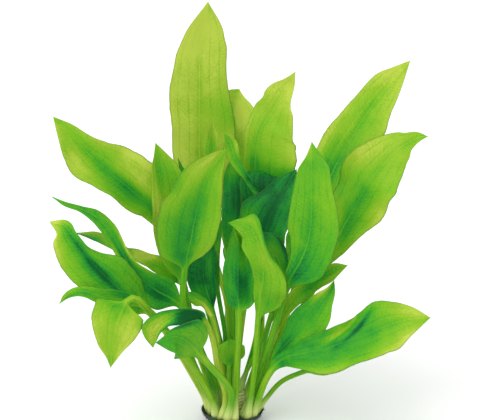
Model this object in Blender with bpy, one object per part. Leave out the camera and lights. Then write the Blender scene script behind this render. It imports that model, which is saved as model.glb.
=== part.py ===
"""An amazon sword plant: a rosette of leaves on a short crown, standing on its growing plug.

The plant stands upright on the plug's flat underside, with +Z up and -Y towards the viewer.
Sizes are in millimetres here, and each finished mesh is scaled to metres.
"""

import math

import bpy
import numpy as np

MILLIMETRE = 0.001

# The growing plug, a low round dish that the roots fill
PLUG_CENTRE = (-0.5, 0)
PLUG_UNDERSIDE_RADIUS = 17.5
PLUG_SHOULDER_RADIUS = 22.8
PLUG_SHOULDER_HEIGHT = 4
PLUG_RIM_RADIUS = 25.8
PLUG_RIM_WIDTH = 0.7
PLUG_DISH_RADIUS = 23.6
PLUG_DISH_HEIGHT = 6.6
PLUG_RIM_RISE = 4
PLUG_SIDES = 24

# The crown, a short thick stem that stands on the plug
CROWN_BASE = 7
CROWN_TOP = 26
CROWN_TOP_RADIUS = 8.8
CROWN_MIDDLE_HEIGHT = 15
CROWN_MIDDLE_RADIUS = 9.6
CROWN_BASE_RADIUS = 9.3
CROWN_SIDES = 16

# The rings on which the leaf stalks stand: two around the crown and one on its top
REST_GAP = 0.4
OUTER_RING = 19.8
INNER_RING = 14.2
TOP_RING = 6.6
MIDDLE = 0.5

# Leaves, where a leaf's own row gives nothing else
STALK_RADIUS = 2.6
STALK_FLATNESS = 0.85
STALK_TAPER = 0.75
FOOT_SWELLING = 0.05
BLADE_THICKNESS = 1.2
BLADE_FOLD = (10, 10)
BLADE_WAVE = (1.5, 2.5, 0)
MARGIN_LAG = 0.37
LEAF_RINGS = (5, 12)
RIB_SHARE = 0.8
TIP_BEAD = 0.35
TIP_BEAD_FROM = 0.9
BLADE_END = 0.992
RIB_POINTS = 400
RIB_SMOOTHING = 9

# The line of sight along which the leaves are laid out
SIGHT_ELEVATION = math.radians(14)
SIGHT_DISTANCE = 1400
SIGHT_ACROSS = 5.6
SIGHT_UP = 167.2

# Colours, as linear red, green and blue
LEAF_TONES = {
    "pale": (0.42, 0.60, 0.08),
    "bright": (0.33, 0.54, 0.03),
    "mid": (0.09, 0.40, 0.02),
    "deep": (0.01, 0.10, 0.02),
    "dull": (0.20, 0.48, 0.11),
}
CROWN_COLOUR = (0.22, 0.16, 0.05)
PLUG_COLOUR = (0.045, 0.09, 0.06)

# One row a leaf. Its foot is a ring and an angle in degrees, 0 to the right and 90 away from the viewer.
# A stalk point is (across, up, behind): its place in the front view, and how far it lies behind the axis.
# A blade point adds the half widths of the blade to the left and to the right of its rib.
# fold is how far each half turns towards the viewer, in degrees, and roll turns the whole blade.
# wave is the margin's height, its number of waves and where they start; hollow is a dent beside the rib.
LEAVES = {
    "tall_back": dict(
        foot=(INNER_RING, 104), tone="pale",
        stalk=[(-2, 54, 24), (-5, 95, 33), (-17, 135, 42)],
        blade=[
            (-24, 175, 48, 16.5, 18.5), (-27, 207, 53, 23.5, 27), (-27, 233, 57, 26, 30.5),
            (-27, 259, 60, 28.5, 26), (-27, 275, 60, 25.5, 23.5), (-26, 295, 60, 20, 22),
            (-23, 313, 58, 14, 15.5),
        ],
        tip=(-20, 334, 54), fold=(8, 8), wave=(1.5, 2, 0.1), roll=-20, radius=2.7,
    ),
    "curled_back": dict(
        foot=(OUTER_RING, 80), tone="pale",
        stalk=[(2, 63, 40), (9, 151, 66)],
        blade=[
            (4, 191, 74, 15.5, 19.5), (1, 223, 80, 17, 21.5), (1, 243, 83, 15.5, 22.5),
            (2, 255, 84, 11, 16), (4, 261, 85, 7.5, 5),
        ],
        tip=(5, 264, 85), roll=22,
    ),
    "right_back": dict(
        foot=(INNER_RING, 62), tone="bright",
        stalk=[(21, 55, 24), (23, 103, 32), (23, 151, 40)],
        blade=[
            (19, 183, 46, 10, 35.5), (18, 207, 49, 10, 38.5), (23, 233, 52, 12.5, 33.5),
            (30, 243, 54, 16, 26.5), (35, 252, 54, 13.5, 18.5), (37, 255, 54, 14.5, 13.5),
            (40, 261, 54, 12, 10.5), (45, 268, 52, 6.5, 6),
        ],
        tip=(50, 278, 46), fold=(8, 10), roll=20,
    ),
    "small_spike": dict(
        foot=(TOP_RING, 113), tone="bright",
        stalk=[(-3, 71, 13), (-5, 135, 24), (-14, 171, 30)],
        blade=[(-16, 211, 35, 7.5, 5.5), (-16, 225, 36, 5.5, 4)],
        tip=(-16, 242, 36), fold=(20, 20), radius=2, rings=(4, 8),
    ),
    "inner_folded": dict(
        foot=(TOP_RING, 62), tone="bright",
        stalk=[(6, 63, 8), (15, 126, 10), (22, 171, 11)],
        blade=[(12, 191, 12, 2.5, 2), (6, 202, 14, 5, 2.5), (1, 210, 16, 5.5, 5), (-2, 220, 19, 5, 5.5)],
        tip=(-7, 228, 19), fold=(0, 0), radius=1.8, rings=(4, 8),
    ),
    "shade_right": dict(
        foot=(TOP_RING, 15), tone="deep",
        stalk=[(20, 71, 10), (30, 143, 17)],
        blade=[(26, 172, 22, 19.5, 21), (23, 187, 24, 18, 22), (23, 194, 28, 16.5, 23)],
        tip=(24, 198, 37), fold=(0, 0), wave=(0.8, 2, 0), radius=1.8,
    ),
    "shade_centre": dict(
        foot=(MIDDLE, 180), tone="deep",
        stalk=[(0, 71, 2), (0, 119, 10)],
        blade=[
            (3, 147, 18, 11.5, 9), (6, 167, 25, 15.5, 15.5), (6, 183, 30, 14.5, 17),
            (3, 198, 33, 10, 7.5),
        ],
        tip=(2, 214, 34), fold=(0, 0), radius=1.8,
    ),
    "inner_right": dict(
        foot=(TOP_RING, -30), tone="mid",
        stalk=[(19, 71, -4), (20, 126, -6)],
        blade=[
            (25, 146, -5, 22.5, 19.5), (30, 161, -4, 26, 18), (36, 174, -2, 17.5, 18),
            (43, 186, 1, 11.5, 10.5),
        ],
        tip=(51, 200, 4), fold=(5, 5), roll=22, radius=1.8,
    ),
    "dull_underside": dict(
        foot=(TOP_RING, -76), tone="dull",
        stalk=[(23, 63, -14), (40, 108, -18)],
        blade=[(38, 122, -20, 11, 6.5), (34, 134, -20, 10.5, 8.5), (30, 142, -19, 6.5, 8)],
        tip=(24, 150, -16), fold=(5, 5), radius=1.8, rings=(4, 8),
    ),
    "right_upper": dict(
        foot=(INNER_RING, 18), tone="bright",
        stalk=[(41, 78, 11), (60, 143, 19)],
        blade=[
            (69, 170, 24, 14.5, 16), (80, 198, 29, 20.5, 17.5), (91, 218, 34, 21, 22),
            (103, 238, 38, 18, 23), (114, 254, 40, 15.5, 18), (124, 266, 41, 14, 13),
            (133, 276, 40, 8, 6.5),
        ],
        tip=(142, 287, 37), fold=(10, 12), roll=13,
    ),
    "right_middle": dict(
        foot=(INNER_RING, -7), tone="bright",
        stalk=[(44, 69, -2), (68, 111, 0)],
        blade=[
            (74, 127, 2, 8, 6.5), (82, 141, 4, 16, 14.5), (91, 158, 7, 21, 19.5),
            (101, 175, 9, 22.5, 27.5), (110, 191, 11, 27, 27.5), (121, 204, 13, 23.5, 20),
            (130, 214, 14, 18, 15.5), (137, 219, 14, 13, 13.5), (141, 221, 13, 9.5, 8),
            (148, 225, 11, 5, 4.5),
        ],
        tip=(156, 226, 8), fold=(10, 10), wave=(3, 3, 0.2), roll=22, radius=2.7,
    ),
    "front_right": dict(
        foot=(INNER_RING, -56), tone="mid",
        stalk=[(25, 47, -20), (42, 102, -34)],
        blade=[
            (47, 114, -37, 5.5, 13), (54, 126, -39, 9.5, 21.5), (59, 138, -40, 14, 23),
            (62, 153, -40, 18, 23.5), (63, 169, -39, 17, 20.5), (63, 185, -36, 14.5, 17),
            (63, 199, -32, 11, 15), (63, 210, -28, 4.5, 8),
        ],
        tip=(63, 222, -24), fold=(7, 6), roll=13, radius=2.7,
    ),
    "right_narrow": dict(
        foot=(INNER_RING, -31), tone="mid",
        stalk=[(22, 33, -8), (28, 52, -13)],
        blade=[
            (33, 68, -18, 4, 3), (39, 82, -21, 5.5, 4.5), (46, 93, -23, 5.5, 6),
            (54, 102, -24, 5.5, 7.5), (64, 109, -24, 6, 7.5), (74, 115, -22, 6, 7.5),
            (82, 120, -20, 5, 5.5),
        ],
        tip=(92, 123, -16), fold=(0, 0), roll=15, radius=2.2,
    ),
    "right_inner": dict(
        foot=(OUTER_RING, -17), tone="mid",
        stalk=[(24, 26, -14), (31, 45, -24)],
        blade=[
            (39, 56, -29, 5.5, 7), (49, 67, -34, 10.5, 13.5), (58, 78, -36, 12.5, 18),
            (66, 88, -37, 11, 17), (72, 96, -36, 7, 10.5), (77, 103, -34, 3, 5.5),
        ],
        tip=(81, 111, -30), fold=(10, 5), roll=20, radius=2.4,
    ),
    "lower_right": dict(
        foot=(OUTER_RING, -34), tone="mid",
        stalk=[(21, 18, -21), (29, 36, -34)],
        blade=[
            (40, 48, -42, 6.5, 7), (54, 52, -48, 11, 14), (74, 56, -53, 13, 21.5),
            (90, 62, -56, 15.5, 22), (106, 67, -58, 20, 22.5), (120, 73, -59, 21, 22.5),
            (134, 78, -58, 15.5, 17), (146, 80, -57, 9.5, 9.5),
        ],
        tip=(158, 81, -55), fold=(8, 8), wave=(3, 2.5, 0.3), roll=20, radius=2.7,
    ),
    "lower_right_back": dict(
        foot=(OUTER_RING, 0), tone="bright",
        stalk=[(27, 17, -3), (39, 30, -8), (57, 38, -14)],
        blade=[(74, 43, -18, 7, 8), (90, 47, -20, 6.5, 6.5)],
        tip=(106, 54, -20), fold=(0, 0), radius=2, rings=(5, 7),
    ),
    "front_centre": dict(
        foot=(OUTER_RING, -52), tone="bright",
        stalk=[(17, 38, -27), (20, 79, -34)],
        blade=[
            (21, 90, -37, 3.5, 17), (22, 101, -40, 6, 21), (24, 111, -43, 7.5, 18.5),
            (24, 121, -45, 9, 13), (23, 130, -46, 11, 7), (20, 140, -45, 13, 6), (17, 148, -43, 11, 7),
            (14, 152, -42, 9.5, 10), (11, 154, -41, 8, 11.5), (7, 156, -40, 7, 5.5),
            (2, 157, -39, 4.5, 2.5),
        ],
        tip=(-4, 157, -37), fold=(0, 0), radius=2.4,
    ),
    "centre": dict(
        foot=(OUTER_RING, -87), tone="mid",
        stalk=[(3, 39, -24), (5, 84, -30)],
        blade=[
            (5, 90, -31, 7, 12.5), (4, 97, -31, 9.5, 13), (4, 107, -32, 12, 14),
            (4, 119, -32, 11.5, 15), (4, 131, -31, 10, 12.5), (4, 142, -29, 7.5, 7.5),
        ],
        tip=(0, 154, -25), fold=(15, 5), roll=16, hollow=5, radius=2.7,
    ),
    "front_left": dict(
        foot=(INNER_RING, -141), tone="bright",
        stalk=[(-22, 25, -17), (-34, 51, -26), (-40, 89, -38), (-39, 118, -42)],
        blade=[
            (-38, 126, -43, 17, 8.5), (-37, 132, -44, 22.5, 14), (-34, 143, -46, 29.5, 18.5),
            (-32, 154, -47, 32, 20), (-29, 166, -46, 33, 20), (-26, 178, -44, 27, 18),
            (-22, 191, -41, 21.5, 14), (-16, 202, -37, 13.5, 9.5), (-11, 209, -34, 7, 6),
        ],
        tip=(-5, 216, -30), fold=(12, 10), roll=-20, radius=2.7,
    ),
    "left_spike": dict(
        foot=(INNER_RING, 171), tone="mid",
        stalk=[(-20, 41, 1), (-29, 62, -3), (-40, 110, -14)],
        blade=[
            (-46, 126, -19, 10, 9.5), (-50, 141, -21, 13, 12.5), (-53, 158, -22, 13.5, 14.5),
            (-55, 175, -22, 11.5, 15), (-58, 191, -20, 7.5, 18), (-60, 203, -17, 6, 14.5),
            (-61, 211, -15, 3, 9),
        ],
        tip=(-62, 221, -12), fold=(10, 10), roll=-22,
    ),
    "left_arching": dict(
        foot=(INNER_RING, 148), tone="bright",
        stalk=[(-19, 39, 11), (-28, 62, 11), (-34, 83, 9), (-50, 140, 5)],
        blade=[
            (-65, 170, 2, 13, 15), (-77, 179, -1, 17, 28.5), (-90, 190, -3, 18, 28),
            (-102, 199, -4, 20, 26), (-113, 209, -3, 24, 18), (-122, 219, -2, 21, 11),
            (-132, 230, 0, 12.5, 7.5),
        ],
        tip=(-144, 242, 3), fold=(15, 5), roll=-22,
    ),
    "left_s_curve": dict(
        foot=(INNER_RING, -164), tone="mid",
        stalk=[(-15, 30, -6), (-26, 54, -14), (-41, 89, -24)],
        blade=[
            (-49, 96, -26, 12, 14), (-60, 102, -28, 14.5, 13.5), (-71, 110, -29, 13, 10),
            (-81, 120, -28, 8, 7), (-87, 130, -26, 5.5, 4.5), (-93, 141, -22, 6, 5.5),
            (-100, 152, -18, 6, 6.5), (-110, 162, -14, 5, 5.5), (-122, 168, -11, 2.5, 2.5),
            (-135, 172, -9, 1.5, 2),
        ],
        tip=(-145, 178, -6), fold=(8, 8), wave=(0.8, 2, 0), roll=-6, rings=(5, 13),
    ),
    "left_strip": dict(
        foot=(OUTER_RING, 139), tone="mid",
        stalk=[(-18, 38, 20), (-27, 58, 25), (-60, 118, 28)],
        blade=[(-82, 132, 27, 6.5, 6.5), (-97, 141, 26, 7.5, 7.5), (-110, 146, 24, 6.5, 6.5)],
        tip=(-127, 149, 22), fold=(0, 0), wave=(0.8, 2, 0), roll=55, radius=2, rings=(4, 8),
    ),
    "left_curled": dict(
        foot=(OUTER_RING, 177), tone="mid",
        stalk=[(-23, 18, -1), (-34, 38, -10), (-52, 67, -26), (-66, 84, -36)],
        blade=[
            (-74, 90, -40, 9.5, 9.5), (-84, 98, -43, 16, 17), (-102, 114, -46, 21, 20),
            (-114, 127, -46, 22.5, 10), (-122, 138, -45, 21.5, 4), (-129, 147, -43, 17.5, 4),
            (-134, 154, -40, 11.5, 5),
        ],
        tip=(-147, 158, -37), fold=(6, 6), roll=-11,
    ),
    "left_drooping": dict(
        foot=(OUTER_RING, -163), tone="mid",
        stalk=[(-19, 14, -9), (-26, 28, -12), (-44, 58, -24), (-71, 90, -53)],
        blade=[
            (-94, 96, -61, 4.5, 7), (-106, 98, -63, 5.5, 6), (-118, 102, -63, 4.5, 4),
            (-127, 102, -62, 4, 3), (-134, 98, -60, 2.5, 2),
        ],
        tip=(-139, 92, -57), fold=(0, 0), wave=(0.6, 2, 0), radius=2,
    ),
    "front_drooping": dict(
        foot=(OUTER_RING, -138), tone="bright",
        stalk=[
            (-16, 13, -22), (-24, 30, -31), (-41, 55, -48), (-65, 84, -68), (-79, 97, -76), (-85, 94, -80),
        ],
        blade=[
            (-86, 92, -81, 13.5, 10.5), (-89, 86, -82, 18, 21.5), (-92, 78, -84, 19, 21),
            (-94, 69, -86, 16.5, 17.5), (-96, 59, -86, 11, 12), (-97, 50, -85, 5, 5),
        ],
        tip=(-98, 41, -82), fold=(4, 4), wave=(0.8, 1.5, 0),
    ),
    "folded_yellow": dict(
        foot=(OUTER_RING, -123), tone="bright",
        stalk=[(-6, 18, -26), (-12, 38, -37), (-16, 62, -51), (-22, 78, -62)],
        blade=[
            (-28, 83, -70, 6, 4.5), (-38, 84, -77, 9, 4.5), (-47, 81, -83, 7, 7),
            (-54, 77, -85, 4, 10.5), (-60, 70, -86, 2.5, 13.5), (-62, 64, -86, 1.5, 9),
        ],
        tip=(-64, 57, -85), fold=(20, 20), wave=(0.5, 1.5, 0), radius=2.1,
    ),
    "front_pale": dict(
        foot=(OUTER_RING, -105), tone="dull",
        stalk=[(-2, 22, -37), (-18, 42, -55)],
        blade=[
            (-27, 52, -64, 4, 4), (-32, 58, -74, 13, 15), (-38, 63, -83, 16.5, 19),
            (-46, 66, -90, 16.5, 7.5), (-53, 64, -95, 10.5, 3.5),
        ],
        tip=(-62, 61, -98), fold=(5, 5), wave=(0.8, 1.5, 0), radius=2.7, rings=(5, 9),
    ),
    "young_round": dict(
        foot=(INNER_RING, -95), tone="mid",
        stalk=[(-2, 18, -16), (-3, 42, -18)],
        blade=[(-3, 47, -18, 7, 7), (-2, 54, -19, 12, 12), (-2, 58, -19, 10.5, 11.5)],
        tip=(-2, 64, -18), fold=(5, 5), wave=(0.4, 1.5, 0), radius=2, rings=(4, 8),
    ),
    "shade_left": dict(
        foot=(TOP_RING, -150), tone="deep",
        stalk=[(-7, 47, -4), (-16, 86, -12)],
        blade=[(-22, 106, -15, 12.5, 9.5), (-24, 119, -17, 14, 11), (-23, 134, -17, 11, 9.5)],
        tip=(-20, 150, -16), fold=(0, 0), radius=1.8, rings=(4, 8),
    ),
    "inner_left": dict(
        foot=(TOP_RING, 165), tone="deep",
        stalk=[(-6, 63, 4), (-12, 102, 4)],
        blade=[(-14, 126, 5, 5, 3.5), (-13, 147, 7, 5, 4)],
        tip=(-10, 169, 9), fold=(10, 10), wave=(0.5, 1.5, 0), radius=1.8, rings=(4, 8),
    ),
    "thin_left": dict(
        foot=(OUTER_RING, 158), tone="mid",
        stalk=[(-22, 34, 14), (-30, 59, 18), (-40, 106, 17)],
        blade=[
            (-49, 117, 15, 6, 5), (-58, 122, 13, 6.5, 8.5), (-68, 128, 13, 6, 5),
            (-77, 133, 13, 3.5, 3.5),
        ],
        tip=(-85, 137, 14), fold=(0, 0), wave=(0.8, 1.5, 0), roll=-15, radius=2, rings=(4, 8),
    ),
    "small_low": dict(
        foot=(INNER_RING, -117), tone="deep",
        stalk=[(-8, 34, -11), (-12, 63, -14), (-17, 82, -21)],
        blade=[(-23, 92, -25, 3, 4), (-28, 95, -26, 5, 4.5), (-32, 98, -26, 4.5, 4)],
        tip=(-37, 102, -25), fold=(0, 0), wave=(0.4, 1.5, 0), radius=2.2, rings=(4, 8),
    ),
    "back_left": dict(
        foot=(INNER_RING, 126), tone="mid",
        stalk=[(-14, 63, 20), (-19, 83, 22), (-26, 126, 28)],
        blade=[(-34, 159, 34, 10, 11.5), (-39, 183, 36, 6.5, 10)],
        tip=(-44, 209, 36), roll=-45, radius=2.2, rings=(4, 8),
    ),
    "back_low_left": dict(
        foot=(OUTER_RING, 121), tone="mid",
        stalk=[(-15, 67, 50), (-20, 86, 60), (-30, 119, 82)],
        blade=[(-36, 151, 106, 15.5, 15.5), (-39, 166, 122, 12, 12)],
        tip=(-41, 171, 140), roll=-50, rings=(4, 8),
    ),
    "back_low": dict(
        foot=(OUTER_RING, 101), tone="mid",
        stalk=[(-3, 25, 25), (-6, 63, 56), (-1, 110, 94)],
        blade=[(2, 135, 118, 11.5, 11.5), (4, 147, 134, 9.5, 9.5)],
        tip=(6, 153, 152), roll=42, rings=(4, 8),
    ),
    "back_low_right": dict(
        foot=(OUTER_RING, 44), tone="mid",
        stalk=[(17, 25, 19), (25, 63, 46), (42, 118, 76)],
        blade=[(55, 146, 98, 14.5, 14.5), (63, 161, 112, 12, 12)],
        tip=(70, 169, 128), roll=50, rings=(4, 8),
    ),
}


def unit(vectors):
    return vectors / np.linalg.norm(vectors, axis=-1, keepdims=True)


def ease(share):
    """0 to 1, level at both ends."""
    share = np.clip(share, 0, 1)
    return share * share * (3 - 2 * share)


# The sight plane crosses the axis at a right angle to the line of sight.
AWAY = np.array((0, math.cos(SIGHT_ELEVATION), -math.sin(SIGHT_ELEVATION)))
RIGHT = np.array((1, 0, 0))
UPWARD = np.array((0, math.sin(SIGHT_ELEVATION), math.cos(SIGHT_ELEVATION)))
SIGHT_HEIGHT = SIGHT_UP * SIGHT_DISTANCE / (SIGHT_DISTANCE * AWAY[1] - SIGHT_UP * UPWARD[1])
SIGHT_CENTRE = np.array((SIGHT_ACROSS, 0, SIGHT_HEIGHT))
EYE = SIGHT_CENTRE - SIGHT_DISTANCE * AWAY


def seen(across, up, behind):
    """The point seen at (across, up) on the sight plane that lies `behind` the axis."""
    way = SIGHT_DISTANCE * AWAY + (across - SIGHT_ACROSS) * RIGHT + (up - SIGHT_UP) * UPWARD
    return EYE + way * (behind - EYE[1]) / way[1]


def rib_line(points):
    """A smooth line of evenly spaced points through the given ones, and the share of the length at each."""
    points = np.vstack([2 * points[0] - points[1], points, 2 * points[-1] - points[-2]])
    line = []
    marks = []
    for first, second, third, fourth in zip(points, points[1:], points[2:], points[3:]):
        steps = [np.linalg.norm(step) ** 0.5 for step in (second - first, third - second, fourth - third)]
        t0, t1, t2, t3 = np.cumsum([0, *steps])
        t = np.linspace(t1, t2, 24, endpoint=False)[:, None]
        low = first + (second - first) * (t - t0) / (t1 - t0)
        middle = second + (third - second) * (t - t1) / (t2 - t1)
        high = third + (fourth - third) * (t - t2) / (t3 - t2)
        lower = low + (middle - low) * (t - t0) / (t2 - t0)
        upper = middle + (high - middle) * (t - t1) / (t3 - t1)
        marks.append(len(line))
        line.extend(lower + (upper - lower) * (t - t1) / (t2 - t1))
    marks.append(len(line))
    line = np.array([*line, points[-2]])
    length = np.concatenate([[0], np.cumsum(np.linalg.norm(np.diff(line, axis=0), axis=1))])
    share = length / length[-1]
    even = np.linspace(0, 1, RIB_POINTS)
    return np.stack([np.interp(even, share, line[:, k]) for k in range(3)], axis=-1), share[marks]


def rib_tangents(line):
    steps = unit(np.gradient(line, axis=0))
    padded = np.pad(steps, ((RIB_SMOOTHING, RIB_SMOOTHING), (0, 0)), mode="edge")
    window = np.ones(2 * RIB_SMOOTHING + 1)
    return unit(np.stack([np.convolve(padded[:, k], window, "valid") for k in range(3)], axis=-1))


def half_widths(marks, widths, shares):
    """Monotone cubic through the widths at the marks."""
    gaps = np.diff(marks)
    slopes = np.diff(widths) / gaps
    bends = np.zeros(len(marks))
    bends[0] = slopes[0]
    bends[-1] = slopes[-1]
    for i in range(1, len(slopes)):
        before, after = slopes[i - 1], slopes[i]
        if before * after > 0:
            near = 2 * gaps[i] + gaps[i - 1]
            far = gaps[i] + 2 * gaps[i - 1]
            bends[i] = (near + far) / (near / before + far / after)
    i = np.clip(np.searchsorted(marks, shares) - 1, 0, len(gaps) - 1)
    t = (shares - marks[i]) / gaps[i]
    start = (2 * t**3 - 3 * t**2 + 1) * widths[i] + (t**3 - 2 * t**2 + t) * gaps[i] * bends[i]
    end = (3 * t**2 - 2 * t**3) * widths[i + 1] + (t**3 - t**2) * gaps[i] * bends[i + 1]
    return start + end


def material(name, colour, roughness):
    made = bpy.data.materials.new(name)
    made.use_nodes = True
    made.diffuse_color = (*colour, 1)
    principled = made.node_tree.nodes["Principled BSDF"]
    principled.inputs["Base Color"].default_value = (*colour, 1)
    principled.inputs["Roughness"].default_value = roughness
    principled.inputs["Metallic"].default_value = 0
    return made


def loft(name, rings, look):
    """A closed body through rings of points, from its foot up, that run counterclockwise seen from above."""
    count = len(rings[0])
    faces = [tuple(reversed(range(count)))]
    for low in range(0, (len(rings) - 1) * count, count):
        for i in range(count):
            j = (i + 1) % count
            faces.append((low + i, low + j, low + count + j, low + count + i))
    faces.append(tuple(range((len(rings) - 1) * count, len(rings) * count)))
    points = [tuple(float(value) * MILLIMETRE for value in point) for ring in rings for point in ring]
    mesh = bpy.data.meshes.new(name)
    mesh.from_pydata(points, [], faces)
    mesh.materials.append(look)
    mesh.shade_smooth()
    mesh.set_sharp_from_angle(angle=math.radians(50))
    body = bpy.data.objects.new(name, mesh)
    bpy.context.scene.collection.objects.link(body)


# The corners of a leaf's eight-sided section, from its left margin over the face that the viewer sees.
# A stalk's corners lie on an oval. A blade's lie on a thin lens, at these shares of its half width and
# half thickness.
STALK_CORNERS = np.radians((180, 135, 90, 45, 0, -45, -90, -135))
BLADE_ACROSS = np.array((-1, -0.5, 0, 0.5, 1, 0.5, 0, -0.5))
BLADE_HEIGHTS = np.array((0, 0.75, 1, 0.75, 0, -0.75, -1, -0.75))


def leaf(name, foot, stalk, blade, tip, tone, fold=BLADE_FOLD, wave=BLADE_WAVE, hollow=0, roll=0,
         radius=STALK_RADIUS, rings=LEAF_RINGS):
    ring, angle = foot
    ground = CROWN_TOP if ring <= TOP_RING else PLUG_DISH_HEIGHT
    foot_angle = math.radians(angle)
    start = np.array((ring * math.cos(foot_angle), ring * math.sin(foot_angle), ground + REST_GAP))
    route = [seen(*point) for point in (*stalk, *(row[:3] for row in blade), tip)]
    line, marks = rib_line(np.array([start, *route]))
    marks = marks[len(stalk):]
    left = np.array([radius, *(row[3] for row in blade), 0])
    right = np.array([radius, *(row[4] for row in blade), 0])

    # Shares of the leaf's length at its sections, and of the blade's own length
    stalk_shares = np.linspace(0, marks[0], rings[0], endpoint=False)
    blade_shares = marks[0] + (1 - marks[0]) * np.linspace(0, BLADE_END, rings[1])
    shares = np.concatenate([stalk_shares, blade_shares])
    along = (shares - marks[0]) / (1 - marks[0])

    # Each section has its place, the direction to its right margin and that of its face
    even = np.linspace(0, 1, RIB_POINTS)
    tangents = rib_tangents(line)
    place = np.stack([np.interp(shares, even, line[:, k]) for k in range(3)], axis=-1)
    tangent = unit(np.stack([np.interp(shares, even, tangents[:, k]) for k in range(3)], axis=-1))
    level = unit(np.cross(tangent, EYE - place))
    side = level * math.cos(math.radians(roll)) + np.cross(level, tangent) * math.sin(math.radians(roll))
    face = np.cross(side, tangent)

    # The blade: half widths, folded halves, waves that grow towards the margin, and the dent
    clipped = np.clip(shares, marks[0], 1)
    grown = along > 0
    on_left = BLADE_ACROSS < 0
    left_half = half_widths(marks, left, clipped)[:, None]
    right_half = half_widths(marks, right, clipped)[:, None]
    half = np.where(on_left, left_half, right_half)
    turn = np.radians(np.where(on_left, fold[0], fold[1]))
    out = np.abs(BLADE_ACROSS) * half * grown[:, None]
    across = np.sign(BLADE_ACROSS) * out * np.cos(turn)
    rise = out * np.sin(turn)
    height, count, phase = wave
    inward = np.clip(along, 0, 1)[:, None]
    calm_ends = ease(6 * inward) * ease(5 * (1 - inward))
    swing = np.sin(2 * math.pi * (count * inward + phase + MARGIN_LAG * (BLADE_ACROSS > 0)))
    rise = rise + height * calm_ends * BLADE_ACROSS**2 * swing
    rise = rise - hollow * calm_ends * np.exp(-(((BLADE_ACROSS - 0.4) / 0.25) ** 2))

    # The stalk thins as it becomes the blade's rib
    oval = radius * (1 - STALK_TAPER * ease((along + 0.02) / 0.6))
    oval = (oval * (1 + FOOT_SWELLING * ease((0.1 - shares) / 0.1)))[:, None]
    rib = np.maximum(oval, BLADE_THICKNESS / 2) * RIB_SHARE
    thickness = np.where(BLADE_ACROSS == 0, rib, BLADE_THICKNESS / 2)
    blade_x = np.where(np.abs(across) > np.abs(BLADE_ACROSS) * oval, across, BLADE_ACROSS * oval)
    blade_z = rise + BLADE_HEIGHTS * thickness
    stalk_x = np.cos(STALK_CORNERS) * oval
    stalk_z = np.sin(STALK_CORNERS) * oval * STALK_FLATNESS
    flat = ease(7 * along)[:, None]
    x = stalk_x + (blade_x - stalk_x) * flat
    x = x + np.cos(STALK_CORNERS) * TIP_BEAD * (along > TIP_BEAD_FROM)[:, None]
    z = stalk_z + (blade_z - stalk_z) * flat
    sections = place[:, None] + side[:, None] * x[..., None] + face[:, None] * z[..., None]

    # The foot is cut level
    sections[0] += tangent[0] * ((start[2] - sections[0][:, 2]) / tangent[0][2])[:, None]
    loft("leaf_" + name, sections, material("leaf_" + name, LEAF_TONES[tone], 0.45))


def crown():
    profile = (
        (CROWN_BASE_RADIUS, CROWN_BASE),
        (CROWN_MIDDLE_RADIUS, CROWN_MIDDLE_HEIGHT),
        (CROWN_TOP_RADIUS, CROWN_TOP),
    )
    turns = [2 * math.pi * i / CROWN_SIDES for i in range(CROWN_SIDES)]
    rings = [[(radius * math.cos(turn), radius * math.sin(turn), height) for turn in turns]
             for radius, height in profile]
    loft("crown", rings, material("crown", CROWN_COLOUR, 0.7))


def growing_plug():
    """A dish whose rim is highest at the back and level with the dish at the front."""
    turns = [2 * math.pi * i / PLUG_SIDES for i in range(PLUG_SIDES)]
    rise = [PLUG_RIM_RISE * (0.5 + 0.5 * math.sin(turn)) ** 0.6 for turn in turns]
    level = [0] * PLUG_SIDES
    profile = (
        (PLUG_UNDERSIDE_RADIUS, 0, level),
        (PLUG_SHOULDER_RADIUS, PLUG_SHOULDER_HEIGHT, level),
        (PLUG_RIM_RADIUS, PLUG_DISH_HEIGHT, rise),
        (PLUG_RIM_RADIUS - PLUG_RIM_WIDTH, PLUG_DISH_HEIGHT, rise),
        (PLUG_DISH_RADIUS, PLUG_DISH_HEIGHT, level),
    )
    rings = [
        [(PLUG_CENTRE[0] + radius * math.cos(turn), PLUG_CENTRE[1] + radius * math.sin(turn), height + more)
         for turn, more in zip(turns, extra)]
        for radius, height, extra in profile
    ]
    loft("growing_plug", rings, material("growing_plug", PLUG_COLOUR, 0.9))


for old in list(bpy.data.objects):
    bpy.data.objects.remove(old)
growing_plug()
crown()
for leaf_name, row in LEAVES.items():
    leaf(leaf_name, **row)
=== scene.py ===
"""An amazon sword plant standing on its growing plug, as it looks in soft studio light.

Bodies and leaf rows are given in millimetres, and scaled when their meshes are made. Lengths inside the
node trees are in metres, like the finished pieces.
"""

import math

import bpy
import numpy as np
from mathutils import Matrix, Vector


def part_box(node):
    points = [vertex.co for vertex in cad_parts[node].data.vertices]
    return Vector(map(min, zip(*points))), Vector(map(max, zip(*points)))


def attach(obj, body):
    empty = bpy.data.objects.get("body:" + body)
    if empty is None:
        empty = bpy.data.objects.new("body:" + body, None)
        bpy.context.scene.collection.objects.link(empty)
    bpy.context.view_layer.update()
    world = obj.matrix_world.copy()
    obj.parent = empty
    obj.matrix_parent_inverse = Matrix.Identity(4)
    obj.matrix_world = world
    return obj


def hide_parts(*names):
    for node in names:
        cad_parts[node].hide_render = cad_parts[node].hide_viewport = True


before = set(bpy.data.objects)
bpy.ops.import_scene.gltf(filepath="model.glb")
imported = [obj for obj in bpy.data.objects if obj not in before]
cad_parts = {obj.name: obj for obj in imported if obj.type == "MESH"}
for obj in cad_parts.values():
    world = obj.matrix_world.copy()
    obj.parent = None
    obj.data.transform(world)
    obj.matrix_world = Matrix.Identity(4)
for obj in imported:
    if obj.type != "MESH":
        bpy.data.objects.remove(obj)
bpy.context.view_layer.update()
MILLIMETRE = 0.001
FULL_TURN = 2 * math.pi


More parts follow.
